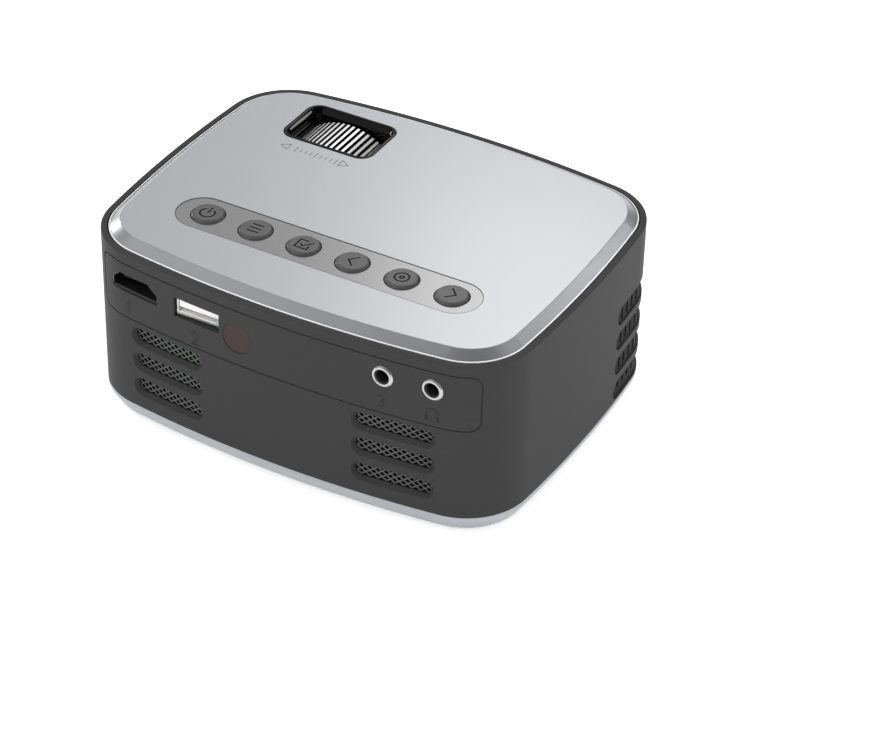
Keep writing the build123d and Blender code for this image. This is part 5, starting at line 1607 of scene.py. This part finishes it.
# ---------------------------------------------------------------- sockets
@dataclass
class Sockets:
    """What shows inside the sockets: insulators, contacts and springs.

    Attributes:
        wide_x: The wide socket's x.
        wide_z: Its tongue's height.
        wide_y: Its tongue's root and tip.
        wide_middle: The wide socket's middle as x and z.
        wide_half: Half its width.
        wide_rise: Half its height.
        wide_cut: The width and height of its cut corners.
        wide_grow: How far its shell fills the wall's opening.
        wide_sunk: How far its lip lies behind the wall's face.
        wide_lip: The lip's rows, as how far each is drawn in and lies behind the first.
        wide_root: How far the shell goes on behind the tongue's root.
        wide_steps: How many parts its long sides have.
        narrow_x: The narrow socket's x.
        narrow_z: Its middle.
        narrow_y: Its root and mouth.
        narrow_width: The room inside its shell.
        narrow_height: The height of that room.
        narrow_outer: The shell's outer width and height.
        rim_rows: How far each row of the rim grows, and how far it lies behind the mouth.
        wide_pins: How many contacts the wide tongue has.
        wide_pin: The pitch, half width, half thickness and level of those contacts.
        narrow_pins: How many contacts the narrow tongue has.
        narrow_pin: The pitch, half width and thickness of those contacts.
        tongue: The narrow tongue's thickness.
        ledge: The thickness of the floor below it.
        back: The thickness of the insulator's back.
        jack_xs: The jacks' places.
        jack_z: Their height.
        leaf: The springs' rows, as the distance into the bore and out from its axis.
        leaf_half: A spring's half thickness and half width.
    """

    plan: CasePlan
    effects: Effects
    wide_x: float = 0.0442
    wide_z: float = 0.0434
    wide_y: Flat = (0.0371, 0.0436)
    wide_middle: Flat = (0.0442, 0.0439)
    wide_half: float = 0.00735
    wide_rise: float = 0.00225
    wide_cut: Flat = (0.003, 0.0026)
    wide_grow: float = 0.00042
    wide_sunk: float = 0.0009
    wide_lip: tuple[Flat, ...] = ((0.0, 0.0), (0.00025, 0.00025), (0.00035, 0.0008))
    wide_root: float = 0.002
    wide_steps: int = 12
    narrow_x: float = 0.02365
    narrow_z: float = 0.0435
    narrow_y: Flat = (0.0371, 0.0484)
    narrow_width: float = 0.0125
    narrow_height: float = 0.004
    narrow_outer: Flat = (0.0134, 0.0049)
    rim_rows: tuple[Flat, ...] = (
        (0.0004, 0.003),
        (0.0004, 0.0001),
        (0.00002, 0.00005),
        (0.00002, 0.003),
    )
    wide_pins: int = 19
    wide_pin: tuple[float, float, float, float] = (0.0005, 0.00014, 0.00006, 0.00065)
    narrow_pins: int = 4
    narrow_pin: Spot = (0.0024, 0.0005, 0.00012)
    tongue: float = 0.0024
    ledge: float = 0.0003
    back: float = 0.002
    jack_xs: tuple[float, ...] = (-0.0309, -0.0443)
    jack_z: float = 0.0444
    leaf: tuple[Flat, ...] = (
        (0.0085, 0.0017),
        (0.006, 0.0016),
        (0.0045, 0.00125),
        (0.0035, 0.0016),
    )
    leaf_half: Flat = (0.0001, 0.0006)

    def build(self) -> None:
        """Builds what lies in each socket."""
        self._wide_shell()
        self._narrow_rim()
        self._wide_contacts()
        self._narrow_insulator()
        self._narrow_contacts()
        self._springs()

    def _wide_shell(self) -> None:
        """Builds the wide socket's steel shell, whose bevelled lip follows the bowed wall."""
        shell = Piece("wide_shell")
        deep = self.wide_y[0]
        rows = [self._wide_row(self.wide_grow, flat=deep - self.wide_root)]
        for inset, behind in self.wide_lip:
            rows.append(self._wide_row(self.wide_grow - inset, behind))
        rows.append(self._wide_row(self.wide_grow - self.wide_lip[-1][0], flat=deep))
        shell.loft(rows)
        # The shell takes the darkened steel: painted shade.
        made = shell.finish("case", Slot.STEEL, SHADED_SOCKET_STEEL.material(self.effects), 20.0)
        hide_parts("hdmi_socket")

    def _wide_row(
        self, grow: float, behind: float = 0.0, flat: float | None = None
    ) -> list[Vector]:
        """Gives the wide socket's outline, grown by an amount.

        Args:
            grow: How far the outline grows.
            behind: How far it lies behind the lip, which follows the wall.
            flat: The y of an outline that doesn't follow the wall.

        Returns:
            Its points, with the long sides divided.
        """
        half = self.wide_half + grow
        low, high = -self.wide_rise - grow, self.wide_rise + grow
        shoulder = low + 2 * self.wide_rise - self.wide_cut[1] + 2 * grow
        shelf = half - self.wide_cut[0]
        count = self.wide_steps
        spots = [(half, low), (half, shoulder)]
        spots += [(shelf - 2 * shelf * step / count, high) for step in range(count + 1)]
        spots += [(-half, shoulder), (-half, low)]
        spots += [(-half + 2 * half * step / count, low) for step in range(1, count)]
        row = []
        for x, z in spots:
            across = self.wide_middle[0] + x
            lip = self.plan.rear_y(across) - self.wide_sunk
            y = lip - behind if flat is None else flat
            row.append(Vector((across, y, self.wide_middle[1] + z)))
        return row

    def _narrow_rim(self) -> None:
        """Builds the black rim between the narrow socket's shell and the wall's opening."""
        rim = Piece("narrow_rim")
        rows = []
        for grow, behind in self.rim_rows:
            middle = Vector((self.narrow_x, self.narrow_y[1] - behind, self.narrow_z))
            half_x, half_z = (size / 2 + grow for size in self.narrow_outer)
            rows.append([middle + Vector((a * half_x, 0, b * half_z)) for a, b in SQUARE])
        rim.ring_loft(rows)
        rim.finish("case", Slot.BLACK, BLACK.material(self.effects))

    def _wide_contacts(self) -> None:
        """Builds the fine contacts on both sides of the wide socket's tongue."""
        pins = Piece("wide_contacts")
        pitch, half, thick, rise = self.wide_pin
        along = (self.wide_y[0], self.wide_y[1] - 0.0006)
        for place in range(self.wide_pins):
            x = self.wide_x + (place - self.wide_pins // 2) * pitch
            level = self.wide_z + (rise if place % 2 == 0 else -rise)
            pins.slab((x - half, x + half), along, (level - thick, level + thick), 0.00004)
        pins.finish("case", Slot.BRASS, GOLD.material(self.effects))

    def _narrow_insulator(self) -> None:
        """Builds the white insulator: its back, the tongue and the floor below it."""
        body = Piece("narrow_insulator")
        half = self.narrow_width / 2
        x = (self.narrow_x - half, self.narrow_x + half)
        low = self.narrow_z - self.narrow_height / 2
        high = self.narrow_z + self.narrow_height / 2
        root, mouth = self.narrow_y
        start = root + self.back - 0.0002
        body.slab(x, (root, root + self.back), (low, high), 0.0001)
        body.slab(x, (start, mouth - 0.0004), (high - self.tongue, high), 0.00012)
        body.slab(x, (start, mouth - 0.00015), (low, low + self.ledge), 0.0001)
        made = body.finish("case", Slot.WHITE, WHITE.material(self.effects))
        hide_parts("usb_tongue")

    def _narrow_contacts(self) -> None:
        """Builds the four contacts under the narrow socket's tongue."""
        pins = Piece("narrow_contacts")
        pitch, half, thick = self.narrow_pin
        level = self.narrow_z + self.narrow_height / 2 - self.tongue
        along = (self.narrow_y[0] + 0.003, self.narrow_y[1] - 0.0012)
        for place in range(self.narrow_pins):
            x = self.narrow_x + (place - (self.narrow_pins - 1) / 2) * pitch
            pins.slab((x - half, x + half), along, (level - thick, level + 0.00002), 0.00006)
        pins.finish("case", Slot.BRASS, GOLD.material(self.effects))

    def _springs(self) -> None:
        """Builds the bent leaf springs in the jacks' bores."""
        leaves = Piece("jack_springs")
        half_x, half_z = self.leaf_half
        for x in self.jack_xs:
            mouth = self.plan.rear_y(x)
            for side in (-1, 1):
                rows = []
                for along, out in self.leaf:
                    middle = Vector((x + side * out, mouth - along, self.jack_z))
                    rows.append([middle + Vector((a * half_x, 0, b * half_z)) for a, b in SQUARE])
                leaves.loft(rows)
        leaves.finish("case", Slot.BRASS, GOLD.material(self.effects))


# ---------------------------------------------------------------- underside
@dataclass
class Underside:
    """Screws, feet and the threaded nut below the case.

    Attributes:
        screw_places: The four screws.
        screw_low: The underside of their heads.
        screw_tip: Their upper ends.
        head: The head's profile from its low edge to its neck, above the underside.
        crest: The thread's outer radius.
        groove: How deep its grooves are.
        thread_start: Where the thread begins, above the underside.
        grooves: How many steps the thread has.
        groove_pitch: The distance from step to step.
        tip: The radius of the screw's end.
        cross: The half length and half width of the cross recess.
        cross_deep: How deep it is.
        cross_taper: The size of its floor as a share of its mouth.
        foot_places: The four feet.
        foot_radius: A foot's radius.
        foot_top: Where a foot ends in its seat.
        foot_step: How far the feet's grooves lie above their faces.
        foot_rings: The radii of the steps between a foot's faces and grooves.
        foot_slope: How wide each of those steps is.
        nut_radius: The nut's outer radius.
        thread_low: The thread's inner radius.
        thread_high: Its outer radius.
        nut_z: The nut's low and high end.
        pitch: The thread's pitch.
        thread_flank: How steeply the nut's thread rises.
        nut_steps: How many points a row of the nut has.
        nut_rows: How many rows it has in a turn of its thread.
    """

    effects: Effects
    screw_places: tuple[Flat, ...] = (
        (-0.0505, -0.037),
        (0.0505, -0.037),
        (-0.053, 0.028),
        (0.053, 0.028),
    )
    screw_low: float = 0.0028
    screw_tip: float = 0.021
    head: tuple[Flat, ...] = (
        (0.0017, 0.0),
        (0.00235, 0.00015),
        (0.0026, 0.0006),
        (0.0026, 0.0016),
        (0.00125, 0.0016),
    )
    crest: float = 0.00125
    groove: float = 0.0002
    thread_start: float = 0.0018
    grooves: int = 46
    groove_pitch: float = 0.00032
    tip: float = 0.0003
    cross: Flat = (0.0013, 0.0003)
    cross_deep: float = 0.0011
    cross_taper: float = 0.7
    foot_places: tuple[Flat, ...] = (
        (-0.042, -0.036),
        (0.042, -0.036),
        (-0.042, 0.036),
        (0.042, 0.036),
    )
    foot_radius: float = 0.005
    foot_top: float = 0.0018
    foot_step: float = 0.00012
    foot_rings: tuple[float, ...] = (0.0018, 0.0024, 0.0032)
    foot_slope: float = 0.0001
    nut_radius: float = 0.0042
    thread_low: float = 0.0026
    thread_high: float = 0.00317
    nut_z: Flat = (0.0008, 0.0088)
    pitch: float = 0.00127
    thread_flank: float = 2.6
    nut_steps: int = 60
    nut_rows: int = 12

    def build(self) -> None:
        """Builds all that shows below."""
        self._screws()
        self._feet()
        self._nut()

    def _screws(self) -> None:
        """Builds the screws with a cross recess in each head."""
        heads = Piece("case_screw_heads")
        crosses = Piece("cross_cutter")
        low = self.screw_low
        profile = [(radius, low + rise) for radius, rise in self.head]
        for step in range(self.grooves):
            rise = low + self.thread_start + self.groove_pitch * step
            profile.append((self.crest - self.groove * (step % 2), rise))
        profile.append((self.tip, self.screw_tip))
        for x, y in self.screw_places:
            heads.lathe(Vector((x, y, 0.0)), AXIS_Z, profile, 40)
            for half_x, half_y in (self.cross, self.cross[::-1]):
                mouth = self._bar(x, y, low - 0.0005, (half_x, half_y))
                narrow = (half_x * self.cross_taper, half_y * self.cross_taper)
                crosses.loft([mouth, self._bar(x, y, low + self.cross_deep, narrow)])
        made = heads.finish("case", Slot.STEEL, STEEL.material(self.effects))
        cut(made, crosses.finish("case", Slot.STEEL, STEEL.material(self.effects)))
        shade(made.data, 30)
        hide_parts("case_screws")

    @staticmethod
    def _bar(x: float, y: float, z: float, half: Flat) -> list[Vector]:
        """Gives the corners of one bar of a cross recess.

        Args:
            x: The screw's x.
            y: The screw's y.
            z: The row's height.
            half: The bar's half sizes along X and Y.

        Returns:
            The four corners.
        """
        return [Vector((x + a * half[0], y + b * half[1], z)) for a, b in SQUARE]

    def _feet(self) -> None:
        """Builds the rubber feet with a rounded edge and two moulded rings."""
        pads = Piece("foot_pads")
        step, radius = self.foot_step, self.foot_radius
        first, second, third = self.foot_rings
        profile = [
            (0.0004, step),
            (first, step),
            (first + self.foot_slope, 0.0),
            (second, 0.0),
            (second + self.foot_slope, step),
            (third, step),
            (third + self.foot_slope, 0.0),
            (radius - 0.0008, 0.0),
            (radius - 0.0003, step),
            (radius - 0.00008, 0.00035),
            (radius, 0.0006),
            (radius, self.foot_top),
        ]
        for x, y in self.foot_places:
            pads.lathe(Vector((x, y, 0.0)), AXIS_Z, profile, 56)
        made = pads.finish("case", Slot.RUBBER, RUBBER.material(self.effects))
        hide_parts("rubber_feet")

    def _nut(self) -> None:
        """Builds the brass nut with a real helical thread."""
        nut = Piece("threaded_nut")
        low, high = self.nut_z
        levels = int((high - low) / self.pitch * self.nut_rows)
        heights = [low + (high - low) * level / levels for level in range(levels + 1)]
        rows = [self._thread_row(z) for z in heights]
        for z in (high, low):
            middle = Vector((0, 0, z))
            rows.append(circle_row(middle, AXIS_X, AXIS_Y, self.nut_radius, self.nut_steps))
        nut.ring_loft(rows)
        made = nut.finish("case", Slot.BRASS, BRASS.material(self.effects))
        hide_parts("tripod_nut")

    def _thread_row(self, z: float) -> list[Vector]:
        """Gives the thread's section at a height."""
        row = []
        for step in range(self.nut_steps):
            turn = 2 * math.pi * step / self.nut_steps
            phase = ((z - self.nut_z[0]) / self.pitch - step / self.nut_steps) % 1.0
            depth = max(0.0, 1.0 - abs(phase - 0.5) * self.thread_flank)
            reach = self.thread_low + (self.thread_high - self.thread_low) * depth
            row.append(Vector((reach * math.cos(turn), reach * math.sin(turn), z)))
        return row


# ---------------------------------------------------------------- lens
@dataclass
class LensDetail:
    """Fine rings round the front glass.

    Attributes:
        axis_x: The lens axis.
        axis_z: Its height.
        front: The snout's front.
        inner: The snout's inner radius.
        steps: How many rings there are.
        pitch: The distance from ring to ring.
        taper: How much smaller each ring is than the one before.
        crest: How far a ring's crest stands in.
        rise: How far into its pitch a ring's crest lies.
        land: How far into its pitch the next step begins.
        depth: How far behind the front the last ring ends.
    """

    effects: Effects
    axis_x: float = 0.0293
    axis_z: float = 0.0363
    front: float = -0.0468
    inner: float = 0.00965
    steps: int = 5
    pitch: float = 0.00036
    taper: float = 0.00006
    crest: float = 0.00012
    rise: float = 0.00024
    land: float = 0.0003
    depth: float = 0.0021

    def build(self) -> None:
        """Builds the stepped rings that keep stray light off the glass."""
        rings = Piece("baffle_rings")
        profile = [(self.inner, self.front + 0.0001)]
        for step in range(self.steps):
            along = self.front + 0.0002 + step * self.pitch
            reach = self.inner - 0.0001 - step * self.taper
            profile.append((reach, along))
            profile.append((reach - self.crest, along + self.rise))
            profile.append((reach, along + self.land))
        profile.append((self.inner, self.front + self.depth))
        rings.lathe(Vector((self.axis_x, 0.0, self.axis_z)), AXIS_Y, profile, 96, True)
        rings.finish("lens_barrel", Slot.BLACK, BLACK.material(self.effects))


# ---------------------------------------------------------------- studio
@dataclass(frozen=True)
class SoftBox:
    """A square soft lamp that looks at the object.

    Attributes:
        name: The lamp's name.
        spot: Where it hangs.
        size: Its side.
        power: Its power in watts.
        aim: What it looks at.
    """

    name: str
    spot: Spot
    size: float
    power: float
    aim: Spot = (0.0, 0.0, 0.03)

    def build(self) -> None:
        """Adds the lamp to the scene."""
        data = bpy.data.lights.new(self.name, "AREA")
        data.size = self.size
        data.energy = self.power
        data.use_shadow = True
        lamp = bpy.data.objects.new(self.name, data)
        lamp.location = self.spot
        look = Vector(self.aim) - Vector(self.spot)
        lamp.rotation_euler = look.to_track_quat("-Z", "Y").to_euler()
        lamp.visible_camera = False
        bpy.context.scene.collection.objects.link(lamp)
        LOG.info("lamp %s of %.3f W", self.name, self.power)


SOFT_BOXES = (
    SoftBox("backdrop_box", (0.14, -0.40, 0.42), 0.16, 0.15),
    SoftBox("lid_box", (-0.45, -0.45, 0.90), 0.40, 0.40),
    SoftBox("side_box", (-0.634, -0.976, 0.636), 0.14, 0.46),
    SoftBox("front_box", (0.55, 1.25, 0.30), 0.60, 1.12),
    SoftBox("glint_box", (1.25, -0.313, 0.348), 0.15, 1.40),
    SoftBox("low_box", (-1.20, 0.20, 0.30), 0.50, 0.085),
)


@dataclass
class Studio:
    """Camera, lamps, world and floor.

    Attributes:
        target: What the camera looks at.
        distance: How far it stands.
        right: The camera's right.
        up: The camera's up.
        back: The way it looks from.
        lens: Its focal length in millimetres.
        left_glow: The bright reflection high on the camera's left: its way and its outer and
            inner cosine.
        back_glow: The bright reflection behind the object, given in the same way.
        horizon_rise: The direction's Z at which the reflected horizon begins to fade and ends.
        left_rise: The direction's Z at which the left reflection begins and is full.
        horizon: How bright the reflected horizon is.
        left_power: How bright the left reflection is.
        back_power: How bright the back reflection is.
        soft_power: How bright the light from all sides is.
        floor_reach: Half the floor's side.
        floor_tones: The floor's darkest and palest tone.
        floor_glow: How bright the floor looks to the camera and in reflections.
    """

    effects: Effects
    target: Spot = (-0.029364, 0.018374, 0.025)
    distance: float = 0.78761
    right: Spot = (-0.8715, -0.4900, 0.0208)
    up: Spot = (0.3029, -0.5044, 0.8086)
    back: Spot = (-0.3858, 0.7109, 0.5880)
    lens: float = 125.40
    left_glow: tuple[Spot, float, float] = ((0.622, 0.501, 0.602), 0.82, 0.97)
    back_glow: tuple[Spot, float, float] = ((0.3863, -0.7116, 0.5885), 0.85, 0.99)
    horizon_rise: Flat = (0.0, 0.35)
    left_rise: Flat = (0.02, 0.2)
    horizon: float = 0.08
    left_power: float = 0.56
    back_power: float = 0.68
    soft_power: float = 1.24
    floor_reach: float = 3.0
    floor_tones: tuple[Spot, Spot] = ((0.84, 0.84, 0.84), (0.86, 0.86, 0.86))
    floor_glow: float = 0.45

    def build(self) -> None:
        """Builds the whole studio."""
        self._camera()
        self._world()
        self._floor()
        for box in SOFT_BOXES:
            box.build()

    def _camera(self) -> None:
        """Places the camera at the photograph's angle."""
        view = bpy.data.cameras.new("photo_view")
        view.sensor_width = 36.0
        view.lens = self.lens
        view.clip_start = 0.01
        view.clip_end = 20.0
        camera = bpy.data.objects.new("photo_view", view)
        back = Vector(self.back)
        spot = Vector(self.target) + back * self.distance
        turn = Matrix((self.right, self.up, self.back)).transposed().to_4x4()
        camera.matrix_world = Matrix.Translation(spot) @ turn
        bpy.context.scene.collection.objects.link(camera)
        bpy.context.scene.camera = camera

    def _world(self) -> None:
        """Sets the room: a white backdrop for the camera, soft light and two bright reflections."""
        world = bpy.data.worlds.new("soft_room")
        bpy.context.scene.world = world
        world.use_nodes = True
        wiring = Wiring(world.node_tree)
        sky = world.node_tree.nodes["Background"]
        rays = wiring.add("ShaderNodeLightPath").outputs
        mirrored = wiring.math("MULTIPLY", rays["Is Glossy Ray"], self._reflections(wiring))
        white = wiring.math("MAXIMUM", rays["Is Camera Ray"], rays["Is Transmission Ray"])
        seen = wiring.math("MAXIMUM", white, rays["Is Glossy Ray"])
        soft = wiring.math("MULTIPLY", wiring.math("SUBTRACT", 1.0, seen), self.soft_power)
        total = wiring.math("ADD", wiring.math("MAXIMUM", white, mirrored), soft)
        sky.inputs["Color"].default_value = (1.0, 1.0, 1.0, 1.0)
        wiring.join(total, sky.inputs["Strength"])

    def _reflections(self, wiring: Wiring) -> bpy.types.NodeSocket:
        """Wires what mirrors see of the room.

        Args:
            wiring: The world's wiring.

        Returns:
            The brightness: a faint horizon, and glows on the left and behind the object.
        """
        where = wiring.add("ShaderNodeTexCoord")
        parts = wiring.add("ShaderNodeSeparateXYZ")
        wiring.join(where.outputs["Generated"], parts.inputs["Vector"])
        rise = parts.outputs["Z"]
        low = wiring.math("SUBTRACT", 1.0, smooth_step(wiring, rise, *self.horizon_rise))
        above = smooth_step(wiring, rise, *self.left_rise)
        left = wiring.math("MULTIPLY", lobe(wiring, where, *self.left_glow), above)
        back = lobe(wiring, where, *self.back_glow)
        total = wiring.math("MULTIPLY", low, self.horizon)
        for glow, power in ((left, self.left_power), (back, self.back_power)):
            total = wiring.math("ADD", total, wiring.math("MULTIPLY", glow, power))
        return total

    def _floor(self) -> None:
        """Lays the pale floor, which keeps the object's soft shadow."""
        reach = self.floor_reach
        data = bpy.data.meshes.new("floor")
        corners = [(a * reach, b * reach, 0.0) for a, b in SQUARE]
        data.from_pydata(corners, [], [(0, 1, 2, 3)])
        floor = bpy.data.objects.new("floor", data)
        bpy.context.scene.collection.objects.link(floor)
        floor.data.materials.append(self._cloth())

    def _cloth(self) -> bpy.types.Material:
        """Makes the floor's finish, which adds its own glow to what the camera sees."""
        cloth = bpy.data.materials.new("pale_floor")
        cloth.use_nodes = True
        wiring = Wiring(cloth.node_tree)
        inputs = cloth.node_tree.nodes["Principled BSDF"].inputs
        slow = Finish.place(wiring, self.effects.drift)
        tone = wiring.mix(slow.outputs["Tone"], *self.floor_tones)
        wiring.join(tone, inputs["Base Color"])
        rays = wiring.add("ShaderNodeLightPath").outputs
        seen = wiring.math("MAXIMUM", rays["Is Camera Ray"], rays["Is Glossy Ray"])
        glow = wiring.math("MULTIPLY", seen, self.floor_glow)
        wiring.join(glow, inputs["Emission Strength"])
        inputs["Emission Color"].default_value = (1.0, 1.0, 1.0, 1.0)
        inputs["Roughness"].default_value = 0.9
        inputs["Specular IOR Level"].default_value = 0.0
        return cloth


def dress_nodes(nodes: dict[str, bpy.types.Object], effects: Effects) -> None:
    """Gives every carried-over node its finish.

    Args:
        nodes: The frame's node objects by name.
        effects: The shared shader groups.
    """
    for name, node in nodes.items():
        material = NODE_FINISHES[name].material(effects)
        node.data.materials.clear()
        node.data.materials.append(material)
        LOG.info("node %s in %s", name, material.name)


def main() -> None:
    """Builds the whole scene round the frame."""
    logging.basicConfig(level=logging.INFO, format="%(name)s: %(message)s")
    for old in list(bpy.data.objects):
        bpy.data.objects.remove(old)
    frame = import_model()
    effects = Effects()
    plan = CasePlan()
    bpy.context.scene.view_settings.view_transform = "Standard"
    Studio(effects).build()
    dress_nodes(frame["nodes"], effects)
    Keys(plan, effects).build()
    Legends(plan, effects).build()
    StripGap(plan, effects).build()
    LidEdge(plan, effects).build()
    EyeRing(plan, effects).build()
    FocusWindow(effects).build()
    RearMesh(plan, effects).build()
    Sockets(plan, effects).build()
    Underside(effects).build()
    LensDetail(effects).build()


if __name__ == "__main__":
    main()
